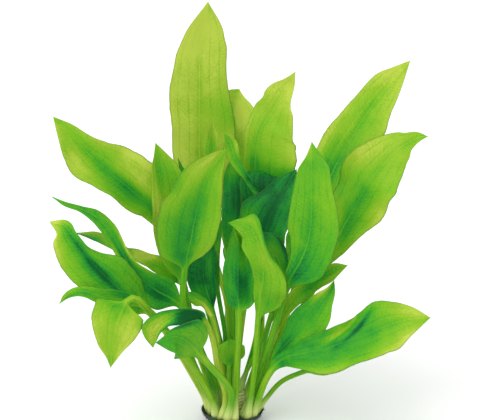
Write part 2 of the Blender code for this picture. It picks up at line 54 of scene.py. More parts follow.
# The growing plug
# A low round dish of soaked dark mineral wool that the roots have filled. It was pressed into a mould, so
# its underside is flat and its rim stands up behind the stalks. Loose fibres stick out of it all over.

PLUG_CENTRE = (-0.5, 0)
PLUG_PROFILE = ((17.5, 0), (22.8, 4), (25.8, 6.6), (25.1, 6.6), (23.6, 6.6))
PLUG_DISH = ((21.5, 6.5), (16, 6.3), (10, 6.2), (5, 6.1))
PLUG_STEPS = 4
PLUG_SIDES = 144
PLUG_SEED = 7
PLUG_DARK = (0.012, 0.030, 0.020)
PLUG_LIGHT = (0.085, 0.140, 0.100)

# The rim stands up at the back. The outside is lumpy and flecked, from this radius and this height on. Its
# lumps are waves of several lengths, mostly inwards, that reach their full height just above the foot.
RIM_RISE = 4
RIM_WIDTH = 1.4
RIM_ROUNDING = 0.6
LUMP_WAVES = (3, 5, 8, 13, 21)
LUMP_SIZES = (0.3, 1)
LUMP_STARTS = (0, 6)
LUMP_DIVISOR = 3
LUMP_HEIGHT = 0.5
LUMP_INSET = 0.4
LUMPS_FULL_FROM = 3
FLECK_HEIGHT = 0.2
ROUGH_FROM_RADIUS = 18
ROUGH_FROM_HEIGHT = 5


class Value:
    """A node's output that can be reckoned with like a number. Each sum adds a node to its tree."""

    def __init__(self, tree, socket):
        self.tree = tree
        self.socket = socket

    def __add__(self, other):
        return reckon("ADD", self, other)

    def __radd__(self, other):
        return reckon("ADD", other, self)

    def __sub__(self, other):
        return reckon("SUBTRACT", self, other)

    def __rsub__(self, other):
        return reckon("SUBTRACT", other, self)

    def __mul__(self, other):
        return reckon("MULTIPLY", self, other)

    def __rmul__(self, other):
        return reckon("MULTIPLY", other, self)

    def __truediv__(self, other):
        return reckon("DIVIDE", self, other)

    def __pow__(self, other):
        return reckon("POWER", self, other)

    def __gt__(self, other):
        return reckon("GREATER_THAN", self, other)

    def __abs__(self):
        return reckon("ABSOLUTE", self)


def feed(socket, value):
    """Another node's output is linked to the socket, and anything else is set on it."""
    if isinstance(value, Value):
        value.tree.links.new(value.socket, socket)
    elif socket.type == "RGBA":
        socket.default_value = (*value, 1)
    else:
        socket.default_value = value


def new_node(tree, kind, *values, **parts):
    """The outputs of a new node by name. Values feed its inputs in their order. Parts named in small letters
    are its settings, and the others feed its inputs by name, with an underscore for a space."""
    node = tree.nodes.new(kind)
    for name, part in parts.items():
        if name.islower():
            setattr(node, name, part)
            continue
        label = name.replace("_", " ")
        feed(next(socket for socket in node.inputs if socket.enabled and socket.name == label), part)
    for socket, value in zip(node.inputs, values):
        feed(socket, value)
    return {socket.name: Value(tree, socket) for socket in node.outputs if socket.enabled}


def new_value(tree, kind, *values, **parts):
    """The first output of such a node."""
    return next(iter(new_node(tree, kind, *values, **parts).values()))


def tree_of(*values):
    """The tree of the first that is a node's output."""
    return next(value.tree for value in values if isinstance(value, Value))


def reckon(operation, *values):
    """The result of a maths node, for what has no sign of its own."""
    return new_value(tree_of(*values), "ShaderNodeMath", *values, operation=operation)


def between(value, start, end, low=0, high=1):
    """Eased from low where the value is at start to high where it is at end."""
    return new_value(
        value.tree, "ShaderNodeMapRange", value, start, end, low, high, interpolation_type="SMOOTHSTEP")


def joined(x, y, z):
    """A vector of the three numbers."""
    return new_value(tree_of(x, y, z), "ShaderNodeCombineXYZ", x, y, z)


def noise(place, scale, detail, roughness):
    """Soft random values from 0 to 1, mostly near a half."""
    return new_value(
        place.tree, "ShaderNodeTexNoise", Vector=place, Scale=scale, Detail=detail, Roughness=roughness)


def tinted(share, first, second):
    """Colour from the first at 0 to the second at 1."""
    tree = tree_of(share, first, second)
    return new_value(tree, "ShaderNodeMix", data_type="RGBA", Factor=share, A=first, B=second)


def bumped(height, strength, distance):
    return new_value(height.tree, "ShaderNodeBump", Height=height, Strength=strength, Distance=distance)


def object_place(tree):
    return new_node(tree, "ShaderNodeTexCoord")["Object"]


def new_material(name):
    """A material with nothing in it yet, and its node tree."""
    material = bpy.data.materials.new(name)
    material.use_nodes = True
    material.node_tree.nodes.clear()
    return material, material.node_tree


def skinned(tree, **parts):
    """The shader of a surface with these parts."""
    return new_value(tree, "ShaderNodeBsdfPrincipled", **parts)


def give_surface(tree, shader):
    new_node(tree, "ShaderNodeOutputMaterial", shader)


def in_scene(name, data):
    """A new object of the data, at the origin."""
    made = bpy.data.objects.new(name, data)
    bpy.context.scene.collection.objects.link(made)
    return made


def ring_points(radii, heights, centre=(0, 0)):
    """Points once round the centre, each at its own distance and height."""
    turns = FULL_TURN * np.arange(len(radii)) / len(radii)
    x = centre[0] + radii * np.cos(turns)
    y = centre[1] + radii * np.sin(turns)
    return np.stack([x, y, np.broadcast_to(heights, turns.shape)], axis=-1)


def closed_rings(name, rings):
    """A closed body through rings of points, from its foot up, each counterclockwise seen from above."""
    count = len(rings[0])
    points = np.vstack([rings[0].mean(axis=0), *rings, rings[-1].mean(axis=0)])
    high = 1 + (len(rings) - 1) * count
    faces = [(0, 1 + (i + 1) % count, 1 + i) for i in range(count)]
    for low in range(1, high, count):
        for i in range(count):
            j = (i + 1) % count
            faces.append((low + i, low + j, low + count + j, low + count + i))
    faces += [(len(points) - 1, high + i, high + (i + 1) % count) for i in range(count)]
    mesh = bpy.data.meshes.new(name)
    mesh.from_pydata((points * MILLIMETRE).tolist(), [], faces)
    mesh.shade_smooth()
    return in_scene(name, mesh)


def part_way(first, second, at, start, end):
    """The first at the start, the second at the end, and evenly from one to the other."""
    return first + (second - first) * (at - start) / (end - start)


def stepped(profile, steps):
    """The profile's points with even steps put in between them."""
    corners = np.array(profile, float)
    path = []
    for low, high in zip(corners, corners[1:]):
        path += [part_way(low, high, k, 0, steps) for k in range(steps)]
    return [*path, corners[-1]]


def wool_material():
    """Near black wool with paler flecks."""
    material, tree = new_material("mineral wool")
    place = object_place(tree)
    fine = noise(place, scale=1400, detail=6, roughness=0.7)
    broad = noise(place, scale=160, detail=4, roughness=0.6)
    colour = tinted(between(fine * 0.7 + broad * 0.5, 0.45, 0.80), PLUG_DARK, PLUG_LIGHT)
    normal = bumped(fine + broad, strength=0.8, distance=0.0008)
    give_surface(tree, skinned(tree, Base_Color=colour, Roughness=0.92, Normal=normal))
    return material


turns = FULL_TURN * np.arange(PLUG_SIDES) / PLUG_SIDES
rng = np.random.default_rng(PLUG_SEED)
waves = [
    rng.uniform(*LUMP_SIZES) * np.sin(count * turns + rng.uniform(*LUMP_STARTS)) for count in LUMP_WAVES]
lumps = LUMP_HEIGHT * (sum(waves) / LUMP_DIVISOR - LUMP_INSET)
rise = RIM_RISE * (0.5 + 0.5 * np.sin(turns)) ** RIM_ROUNDING
dish_radius, dish_height = PLUG_PROFILE[-1]
plug_rings = []
for radius, height in (*stepped(PLUG_PROFILE, PLUG_STEPS), *PLUG_DISH):
    on_rim = max(0, min(1, (radius - dish_radius) / RIM_WIDTH))
    outward, upward = FLECK_HEIGHT * rng.standard_normal((2, PLUG_SIDES))
    radii = radius + (lumps * min(1, height / LUMPS_FULL_FROM) + outward) * (radius > ROUGH_FROM_RADIUS)
    heights = height + (rise * on_rim + upward) * (height > ROUGH_FROM_HEIGHT)
    if radius < dish_radius:
        heights = np.minimum(heights, dish_height)
    plug_rings.append(ring_points(radii, heights, PLUG_CENTRE))
plug = closed_rings("wool_plug", plug_rings)
plug.data.materials.append(wool_material())

# Each fibre is a thin curved strand that grows out of the wool, set on its outside by the tree below. Its
# bend is three points, in half lengths aside and outwards. It is turned by up to these angles either way,
# and grows only above the lowest height. Lengths are in metres.
FIBRE_COUNT = 2600
FIBRE_LENGTH = 0.0022
FIBRE_THICKNESS = 0.00007
FIBRE_LOWEST = 0.0024
FIBRE_SHORTEST = 0.35
FIBRE_SEED = 3
FIBRE_BEND = {"Start": (0, 0), "Middle": (0.3, 1), "End": (1.2, 1.4)}
FIBRE_TURN = (0.9, 0.9, 3.14)


def geometry_tree(name, **inputs):
    """An empty geometry tree with named inputs of each kind, and what those inputs give."""
    tree = bpy.data.node_groups.new(name, "GeometryNodeTree")
    for kind, labels in inputs.items():
        for label in labels:
            tree.interface.new_socket(label, in_out="INPUT", socket_type="NodeSocket" + kind)
    tree.interface.new_socket("Geometry", in_out="OUTPUT", socket_type="NodeSocketGeometry")
    return tree, new_node(tree, "NodeGroupInput")


def end_tree(tree, geometry, skin):
    """The tree gives the geometry made real, in its material."""
    real = new_value(tree, "GeometryNodeRealizeInstances", Geometry=geometry)
    covered = new_value(tree, "GeometryNodeSetMaterial", Geometry=real, Material=skin)
    new_node(tree, "NodeGroupOutput", covered)


def grown(base, tree, values, name):
    """The tree's result on the base object as a plain mesh object; the base goes."""
    modifier = base.modifiers.new("grow", "NODES")
    modifier.node_group = tree
    for item in tree.interface.items_tree:
        if item.in_out == "INPUT" and item.name in values:
            value = values[item.name]
            modifier[item.identifier] = float(value) if item.socket_type == "NodeSocketFloat" else value
    depsgraph = bpy.context.evaluated_depsgraph_get()
    mesh = bpy.data.meshes.new_from_object(base.evaluated_get(depsgraph), depsgraph=depsgraph)
    base.modifiers.remove(modifier)
    mesh.name = name
    made = in_scene(name, mesh)
    bpy.data.objects.remove(base)
    return made


def fibre_tree():
    """Sets strands on the outside of a body, as many as are asked for, turned and sized by chance."""
    tree, given = geometry_tree(
        "wool fibres", Geometry=["Wool"], Int=["Count", "Seed"], Float=["Length", "Thickness", "Lowest"],
        Material=["Skin"])
    height = new_node(tree, "ShaderNodeSeparateXYZ", new_value(tree, "GeometryNodeInputPosition"))["Z"]
    whole_area = new_node(
        tree, "GeometryNodeAttributeStatistic", domain="FACE", Geometry=given["Wool"],
        Attribute=new_value(tree, "GeometryNodeInputMeshFaceArea"))["Sum"]
    roots = new_node(
        tree, "GeometryNodeDistributePointsOnFaces", Mesh=given["Wool"], Selection=height > given["Lowest"],
        Density=given["Count"] / whole_area, Seed=given["Seed"])
    half = given["Length"] * 0.5
    points = {name: joined(half * aside, 0, half * outward) for name, (aside, outward) in FIBRE_BEND.items()}
    strand = new_value(tree, "GeometryNodeCurveQuadraticBezier", Resolution=5, **points)
    section = new_value(tree, "GeometryNodeCurvePrimitiveCircle", Resolution=4, Radius=given["Thickness"])
    tube = new_value(
        tree, "GeometryNodeCurveToMesh", Curve=strand, Profile_Curve=section, Fill_Caps=True)
    twist = new_value(
        tree, "FunctionNodeRandomValue", data_type="FLOAT_VECTOR", Min=[-angle for angle in FIBRE_TURN],
        Max=FIBRE_TURN, Seed=given["Seed"])
    turned = new_value(
        tree, "FunctionNodeRotateRotation", rotation_space="LOCAL", Rotation=roots["Rotation"],
        Rotate_By=twist)
    size = new_value(tree, "FunctionNodeRandomValue", Min=FIBRE_SHORTEST, Max=1, Seed=given["Seed"])
    fibres = new_value(
        tree, "GeometryNodeInstanceOnPoints", Points=roots["Points"], Instance=tube, Rotation=turned,
        Scale=size)
    end_tree(tree, fibres, given["Skin"])
    return tree


fibres = grown(in_scene("fibre_base", plug.data.copy()), fibre_tree(), {
    "Count": FIBRE_COUNT, "Length": FIBRE_LENGTH, "Thickness": FIBRE_THICKNESS, "Lowest": FIBRE_LOWEST,
    "Seed": FIBRE_SEED, "Skin": plug.data.materials[0],
}, "wool_fibres")
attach(plug, "root")
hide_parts("growing_plug")
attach(fibres, "root")


# The crown
# A short thick stem, tan and corky, with the ringed scars of leaves that have gone. It grew up out of the
# plug, and every leaf stalk comes from it.

# It is sunk a little into the plug, and narrows from its shoulder up. The shoulder is a share of its
# height. Each of its lumps is how high it is, how many are round it, and how far they twist.
CROWN_RINGS = 40
CROWN_SIDES = 64
CROWN_SUNK = 1
CROWN_RADIUS = 8.7
CROWN_BULGE = 0.5
CROWN_SCARS = 7
SCAR_HEIGHT = 0.35
SHOULDER = 0.92
SHOULDER_REACH = 0.08
SHOULDER_SLOPE = 1.4
CROWN_LUMPS = ((0.35, 5, 4), (0.2, 11, -9))
CROWN_TAN = (0.70, 0.74, 0.30)
CROWN_PALE = (0.85, 0.88, 0.52)
CROWN_BROWN = (0.38, 0.35, 0.13)


def crown_material():
    """Tan cork in uneven brown rings, with pale patches where the bark has gone."""
    material, tree = new_material("crown cork")
    place = object_place(tree)
    bands = new_node(
        tree, "ShaderNodeTexWave", bands_direction="Z", Vector=place, Scale=110, Distortion=3, Detail=3)
    rings = bands["Fac"]
    patches = noise(place, scale=240, detail=5, roughness=0.65)
    corky = tinted(between(rings, 0, 0.8), CROWN_BROWN, CROWN_TAN)
    colour = tinted(between(patches, 0.45, 0.7), corky, CROWN_PALE)
    normal = bumped(rings + patches, strength=0.6, distance=0.0006)
    give_surface(tree, skinned(tree, Base_Color=colour, Roughness=0.75, Normal=normal))
    return material


low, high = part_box("crown")
turns = FULL_TURN * np.arange(CROWN_SIDES) / CROWN_SIDES
crown_rings = []
for k in range(CROWN_RINGS):
    up = k / (CROWN_RINGS - 1)
    height = low.z / MILLIMETRE - CROWN_SUNK + up * ((high.z - low.z) / MILLIMETRE + CROWN_SUNK)
    radius = CROWN_RADIUS + CROWN_BULGE * math.sin(math.pi * up)
    radius += SCAR_HEIGHT * math.cos(FULL_TURN * CROWN_SCARS * up)
    radius -= SHOULDER_SLOPE * max(0, up - SHOULDER) / SHOULDER_REACH
    radii = radius + sum(tall * np.sin(count * turns + twist * up) for tall, count, twist in CROWN_LUMPS)
    crown_rings.append(ring_points(radii, height))
crown = closed_rings("crown_stem", crown_rings)
crown.data.materials.append(crown_material())
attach(crown, "root")
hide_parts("crown")


# The tall leaves at the back
# Each is one grown piece: a fleshy stalk that rises from the crown and goes on as the midrib of a thin
# blade. These stand upright behind the rest, in full light, so they are the palest.

# Where the stalks stand: each ring's distance from the crown's middle, and the height of its feet
OUTER_RING = 19
INNER_RING = 13.6
TOP_RING = 6.4
MIDDLE = 0.5
RING_FOOT = 5.9
TOP_FOOT = 24.6

# A leaf, where its own row gives nothing else
STALK_RADIUS = 2.6
BLADE_FOLD = (10, 10)
BLADE_WAVE = (1.5, 2.5, 0)
NO_DENT = (0, 0, 1, 0, 1, 0)
DENT_PLACE = ("Dent across", "Dent width", "Dent along", "Dent reach", "Dent slant")
STALK_DEPTH = 0.05

# The stalk is a flattened oval. It swells at its foot, where its sections lie level, and tapers as the
# midrib, from just below the blade on.
STALK_FLATNESS = 0.85
STALK_TAPER = 0.75
TAPER_LEAD = 0.02
TAPER_REACH = 0.6
FOOT_SWELLING = 0.35
SWELLING_REACH = 18
LEVEL_FOOT = 9
TIP_SLOPE = 0.25

# The blade is flat after a seventh of its length. Its waves rise over the first sixth and fade over the
# last fifth, and those of the right margin lag behind the left one's. It is thinner where it is narrow.
BLADE_THICKNESS = 0.7
THICK_WIDTH = 6
THINNEST = 0.2
FLATTENING = 7
WAVES_RISE = 6
WAVES_FADE = 5
MARGIN_LAG = 0.37
MARGIN_RIPPLE = 0.35
MARGIN_WOBBLE = 0.05
SURFACE_UNEVENNESS = 0.5
VEIN_SPACING = 0.36
LEAST = 0.12

# Inside the leaf tree: how far the points round a section gather towards the midrib and the margins, the
# pace of the margin's wobble and flutter and of the unevenness, the hollows along the side veins and how
# far out they start, the midrib, and the distance at which points are welded
GATHERING = 0.09
WOBBLE_PACE = 110
FLUTTER_PACE = 260
UNEVEN_ACROSS = 1.3
UNEVEN_ALONG = 45
HOLLOW_DEPTH = 0.00012
HOLLOW_START = (0.001, 0.004)
RIB_WIDTH = 1.1
RIB_PROUD_BELOW = 0.8
RIB_PROUD_ABOVE = 0.25
WELD_DISTANCE = 0.000002

# How finely a leaf is made
STALK_ROWS = 30
BLADE_ROWS = 96
SECTION_POINTS = 64
CURVE_STEPS = 24
RIB_POINTS = 400
RIB_SMOOTHING = 9
LEAF_SEED_STEP = 3.7

# The line of sight along which the leaves were measured, with the picture plane through the axis
SIGHT_ELEVATION = math.radians(14)
SIGHT_DISTANCE = 1400
SIGHT_ACROSS = 5.6
SIGHT_UP = 167.2
AWAY = np.array((0, math.cos(SIGHT_ELEVATION), -math.sin(SIGHT_ELEVATION)))
RIGHT = np.array((1, 0, 0))
UPWARD = np.array((0, math.sin(SIGHT_ELEVATION), math.cos(SIGHT_ELEVATION)))
SIGHT_HEIGHT = SIGHT_UP * SIGHT_DISTANCE / (SIGHT_DISTANCE * AWAY[1] - SIGHT_UP * UPWARD[1])
SIGHT_CENTRE = np.array((SIGHT_ACROSS, 0, SIGHT_HEIGHT))
EYE = SIGHT_CENTRE - SIGHT_DISTANCE * AWAY


def seen(across, up, behind):
    """The point seen at (across, up) on the picture plane that lies `behind` the axis."""
    way = SIGHT_DISTANCE * AWAY + (across - SIGHT_ACROSS) * RIGHT + (up - SIGHT_UP) * UPWARD
    return EYE + way * (behind - EYE[1]) / way[1]


def unit(vectors):
    return vectors / np.linalg.norm(vectors, axis=-1, keepdims=True)


def ease(share):
    """0 to 1, level at both ends."""
    share = np.clip(share, 0, 1)
    return share * share * (3 - 2 * share)


def picked(shares, marks, line):
    """The line's points at the shares, when the marks are the shares of the points it has."""
    return np.stack([np.interp(shares, marks, line[:, k]) for k in range(3)], axis=-1)


def rib_line(points):
    """A smooth line of evenly spaced points through the given ones, the share of it at each, its length."""
    points = np.vstack([2 * points[0] - points[1], points, 2 * points[-1] - points[-2]])
    line = []
    marks = []
    for first, second, third, fourth in zip(points, points[1:], points[2:], points[3:]):
        steps = [np.linalg.norm(step) ** 0.5 for step in (second - first, third - second, fourth - third)]
        t0, t1, t2, t3 = np.cumsum([0, *steps])
        t = np.linspace(t1, t2, CURVE_STEPS, endpoint=False)[:, None]
        low = part_way(first, second, t, t0, t1)
        middle = part_way(second, third, t, t1, t2)
        high = part_way(third, fourth, t, t2, t3)
        lower = part_way(low, middle, t, t0, t2)
        upper = part_way(middle, high, t, t1, t3)
        marks.append(len(line))
        line.extend(part_way(lower, upper, t, t1, t2))
    marks.append(len(line))
    line = np.array([*line, points[-2]])
    length = np.concatenate([[0], np.cumsum(np.linalg.norm(np.diff(line, axis=0), axis=1))])
    share = length / length[-1]
    return picked(np.linspace(0, 1, RIB_POINTS), share, line), share[marks], length[-1]


def rib_tangents(line):
    steps = unit(np.gradient(line, axis=0))
    padded = np.pad(steps, ((RIB_SMOOTHING, RIB_SMOOTHING), (0, 0)), mode="edge")
    window = np.ones(2 * RIB_SMOOTHING + 1)
    return unit(np.stack([np.convolve(padded[:, k], window, "valid") for k in range(3)], axis=-1))


def half_widths(marks, widths, shares):
    """Monotone cubic through the widths at the marks."""
    gaps = np.diff(marks)
    slopes = np.diff(widths) / gaps
    bends = np.array([slopes[0], *np.zeros(len(slopes) - 1), slopes[-1]])
    for i in range(1, len(slopes)):
        before, after = slopes[i - 1], slopes[i]
        if before * after > 0:
            near = 2 * gaps[i] + gaps[i - 1]
            far = gaps[i] + 2 * gaps[i - 1]
            bends[i] = (near + far) / (near / before + far / after)
    i = np.clip(np.searchsorted(marks, shares) - 1, 0, len(gaps) - 1)
    t = (shares - marks[i]) / gaps[i]
    start = (2 * t**3 - 3 * t**2 + 1) * widths[i] + (t**3 - 2 * t**2 + t) * gaps[i] * bends[i]
    end = (3 * t**2 - 2 * t**3) * widths[i + 1] + (t**3 - t**2) * gaps[i] * bends[i + 1]
    return start + end


def leaf_rib(name, foot, stalk, blade, tip, roll, radius):
    """The leaf's midrib as a line of points, with its size and facing at each stored on it."""
    ring, angle = foot
    foot_angle = math.radians(angle)
    ground = TOP_FOOT if ring <= TOP_RING else RING_FOOT
    start = np.array((ring * math.cos(foot_angle), ring * math.sin(foot_angle), ground))
    route = [seen(*point) for point in (*stalk, *(row[:3] for row in blade), tip)]
    line, marks, length = rib_line(np.array([start, *route]))
    marks = marks[len(stalk):]

    # The first and last rows close the ends, so they are repeated with no size.
    stalk_shares = np.linspace(0, marks[0], STALK_ROWS, endpoint=False)
    shares = np.concatenate([[0], stalk_shares, np.linspace(marks[0], 1, BLADE_ROWS), [1]])
    whole = np.ones(len(shares))
    whole[[0, -1]] = 0
    along = (shares - marks[0]) / (1 - marks[0])
    even = np.linspace(0, 1, RIB_POINTS)
    place = picked(shares, even, line)
    tangent = unit(picked(shares, even, rib_tangents(line)))
    level = unit(np.cross(tangent, EYE - place))
    turn = math.radians(roll)
    side = level * math.cos(turn) + np.cross(level, tangent) * math.sin(turn)
    face = np.cross(side, tangent)

    # Near the foot the sections lean over until they lie level on the crown.
    levelled = 1 - ease(shares * length / LEVEL_FOOT)[:, None]
    side = side - tangent * levelled * side[:, 2:] / tangent[:, 2:]
    face = face - tangent * levelled * face[:, 2:] / tangent[:, 2:]

    grown_blade = (along > 0) * whole
    clipped = np.clip(shares, marks[0], 1)
    left = half_widths(marks, np.array([radius, *(row[3] for row in blade), 0]), clipped)
    right = half_widths(marks, np.array([radius, *(row[4] for row in blade), 0]), clipped)
    oval = radius * (1 - STALK_TAPER * ease((along + TAPER_LEAD) / TAPER_REACH))
    oval = oval * (1 + FOOT_SWELLING * ease(1 - shares * length / SWELLING_REACH))
    oval = np.minimum(oval, LEAST + (1 - shares) * length * TIP_SLOPE)
    thin = np.clip((left + right) / THICK_WIDTH, THINNEST, 1) * BLADE_THICKNESS / 2
    values = {
        "left": np.maximum(left, LEAST) * grown_blade * MILLIMETRE,
        "right": np.maximum(right, LEAST) * grown_blade * MILLIMETRE,
        "oval": oval * whole * MILLIMETRE,
        "thin": thin * whole * MILLIMETRE,
        "along": along,
        "flat": ease(FLATTENING * along),
        "lively": ease(WAVES_RISE * along) * ease(WAVES_FADE * (1 - along)),
        "way": shares * length * MILLIMETRE,
    }
    mesh = bpy.data.meshes.new(name)
    mesh.from_pydata((place * MILLIMETRE).tolist(), [(i, i + 1) for i in range(len(place) - 1)], [])
    for label, value in values.items():
        mesh.attributes.new(label, "FLOAT", "POINT").data.foreach_set("value", value.astype(np.float32))
    for label, vector in (("side", side), ("face", face)):
        stored_vectors = mesh.attributes.new(label, "FLOAT_VECTOR", "POINT").data
        stored_vectors.foreach_set("vector", vector.astype(np.float32).ravel())
    return in_scene(name, mesh)


def sine(value):
    return reckon("SINE", value)


def cosine(value):
    return reckon("COSINE", value)


def scaled(direction, length):
    return new_value(direction.tree, "ShaderNodeVectorMath", direction, operation="SCALE", Scale=length)


def moved(place, step):
    return new_value(place.tree, "ShaderNodeVectorMath", place, step, operation="ADD")


def chosen(share, first, second):
    """The first number where the share is 0 and the second where it is 1."""
    return first + share * (second - first)


def bell(value, middle, width):
    """1 where the value is at the middle, falling to nothing either side."""
    off = (value - middle) / width
    return reckon("EXPONENT", -1 * (off * off))


def leaf_tree():
    """Skins a leaf over its rib: a grid whose rows are sections, each bent from an oval to a blade."""
    tree, given = geometry_tree(
        "leaf skin", Geometry=["Rib"], Int=["Rows", "Around"], Material=["Skin"], Float=[
            "Left fold", "Right fold", "Wave height", "Waves", "Wave start", "Dent", *DENT_PLACE,
            "Margin ripple", "Margin wobble", "Unevenness", "Seed",
        ])
    seed = given["Seed"]
    grid = new_value(
        tree, "GeometryNodeMeshGrid", Size_X=1, Size_Y=1, Vertices_X=given["Around"] + 1,
        Vertices_Y=given["Rows"])
    index = new_value(tree, "GeometryNodeInputIndex")
    row = reckon("MODULO", index, given["Rows"])
    column = reckon("FLOOR", (index + 0.5) / given["Rows"])

    def at_row(value, kind):
        """The rib's own value at the grid's row."""
        return new_value(
            tree, "GeometryNodeSampleIndex", data_type=kind, Geometry=given["Rib"], Value=value, Index=row)

    def stored_at_row(label, kind="FLOAT"):
        return at_row(
            new_value(tree, "GeometryNodeInputNamedAttribute", data_type=kind, Name=label), kind)

    place = at_row(new_value(tree, "GeometryNodeInputPosition"), "FLOAT_VECTOR")
    side, face = (stored_at_row(label, "FLOAT_VECTOR") for label in ("side", "face"))
    left, right, oval, thin, along, flat, lively, way = (
        stored_at_row(label)
        for label in ("left", "right", "oval", "thin", "along", "flat", "lively", "way"))

    # Once round the section: -1 at the left margin, over the upper face to 1, and back under it, with the
    # points gathered towards the midrib and the margins
    share = column / given["Around"]
    ramp = 1 - 2 * abs(1 - 2 * share)
    across = ramp - GATHERING * sine(FULL_TURN * ramp)
    upper = reckon("SIGN", 0.5 - share)
    on_top = upper > 0
    out_share = abs(across)
    on_right = across > 0

    # Each half's width wavers along its margin, and each half has its own fold.
    wobble = noise(joined(way * WOBBLE_PACE, on_right * 9, seed), scale=1, detail=2, roughness=0.6) - 0.5
    wobble = wobble * (given["Margin wobble"] * lively)
    half = chosen(on_right, left, right) * (1 + 2 * wobble)
    out = out_share * half
    fold = chosen(on_right, given["Left fold"], given["Right fold"])

    # How far the blade's middle sheet stands towards its face: long waves, the dent, a quick flutter of the
    # margin, broad unevenness, a hollow along each side vein, and the fold
    phase = given["Waves"] * along + (given["Wave start"] + MARGIN_LAG * on_right)
    rise = given["Wave height"] * (out_share * out_share * sine(FULL_TURN * phase))
    aside = across - given["Dent across"]
    slid = along - given["Dent slant"] * aside
    dent = bell(aside, 0, given["Dent width"]) * bell(slid, given["Dent along"], given["Dent reach"])
    rise = rise - given["Dent"] * dent
    flutter = sine(way * FLUTTER_PACE + (seed + 2 * on_right))
    rise = rise + given["Margin ripple"] * (out_share**4 * flutter)
    surface_place = joined(across * UNEVEN_ACROSS, way * UNEVEN_ALONG, seed)
    uneven = noise(surface_place, scale=1, detail=2, roughness=0.5) - 0.5
    rise = rise + given["Unevenness"] * 2 * (uneven * between(out_share, 0, 0.3))
    hollows = HOLLOW_DEPTH * cosine(out_share * (FULL_TURN / VEIN_SPACING))
    rise = rise - hollows * between(out, *HOLLOW_START)
    rise = rise * lively + out * sine(fold)

    # The blade's own thickness, with the midrib low on the upper face and proud on the lower one
    rounded = reckon("SQRT", reckon("MAXIMUM", 1 - out_share**6, 0))
    rib_form = bell(out / (oval + 0.00001), 0, RIB_WIDTH)
    proud = oval * chosen(on_top, RIB_PROUD_BELOW, RIB_PROUD_ABOVE)
    blade_z = rise + upper * (rounded * (thin + rib_form * proud))
    least_out = out_share * oval
    blade_x = reckon("SIGN", across) * reckon("MAXIMUM", out * cosine(fold), least_out)

    angle = math.pi - FULL_TURN * share
    x = chosen(flat, oval * cosine(angle), blade_x)
    z = chosen(flat, oval * STALK_FLATNESS * sine(angle), blade_z)
    point = moved(place, moved(scaled(side, x), scaled(face, z)))
    skin = new_value(tree, "GeometryNodeSetPosition", Geometry=grid, Position=point)
    kept = {
        "across": across, "along": along, "way": way, "out": reckon("MAXIMUM", out, least_out),
        "oval": oval, "upper": on_top, "blade": flat, "seed": seed,
    }
    for label, value in kept.items():
        skin = new_value(
            tree, "GeometryNodeStoreNamedAttribute", domain="POINT", Geometry=skin, Name=label, Value=value)
    skin = new_value(tree, "GeometryNodeMergeByDistance", Geometry=skin, Distance=WELD_DISTANCE)
    end_tree(tree, new_value(tree, "GeometryNodeSetShadeSmooth", Geometry=skin), given["Skin"])
    return tree


# The greens of a leaf from its palest to its deepest, and its other colours
GREENS = (
    (0.00, (0.60, 0.69, 0.090)), (0.20, (0.36, 0.56, 0.034)), (0.40, (0.215, 0.51, 0.018)),
    (0.60, (0.088, 0.42, 0.018)), (0.75, (0.032, 0.34, 0.028)), (0.88, (0.0110, 0.24, 0.036)),
    (1.00, (0.0030, 0.120, 0.026)),
)
FOOT_WHITE = (0.90, 0.95, 0.36)
MARGIN_BROWN = (0.13, 0.21, 0.040)
UNDERSIDE = (0.17, 0.44, 0.08)
THROUGH_LIGHT = (0.18, 0.76, 0.045)
THROUGH_LIGHT_SHARE = 0.30
SHARE_THROUGH = 0.36
SKIN_ROUGHNESS = 0.45
SKIN_GLOSS = 0.12

# How much deeper in colour each part of the pattern makes the skin, or how much paler, below 0
BLOTCH_DEPTH = 0.30
GRAIN_DEPTH = 0.22
STALK_STREAK_DEPTH = 0.9
BLADE_STREAK_DEPTH = 0.10
SIDE_VEIN_DEPTH = 0.13
SMALL_VEIN_DEPTH = 0.075
NET_DEPTH = 0.050
BESIDE_RIB_DEPTH = 0.18
RIB_DEPTH = -0.30

# Where the pattern's parts are, and how strong its tints are. The white foot is in metres up the stalk.
VEIN_DRIFT = 0.06
VEIN_WIDTH = 0.035
SMALL_VEIN_PACE = 300
SMALL_VEIN_SLANT = 210
SMALL_VEIN_DRIFT = 3.2
NET_SCALE = 520
WHITE_FOOT = (0.003, 0.026)
WHITE_SHARE = 0.9
UNDERSIDE_SHARE = 0.40
MARGIN_FROM = 0.93
MARGIN_SHARE = 0.5


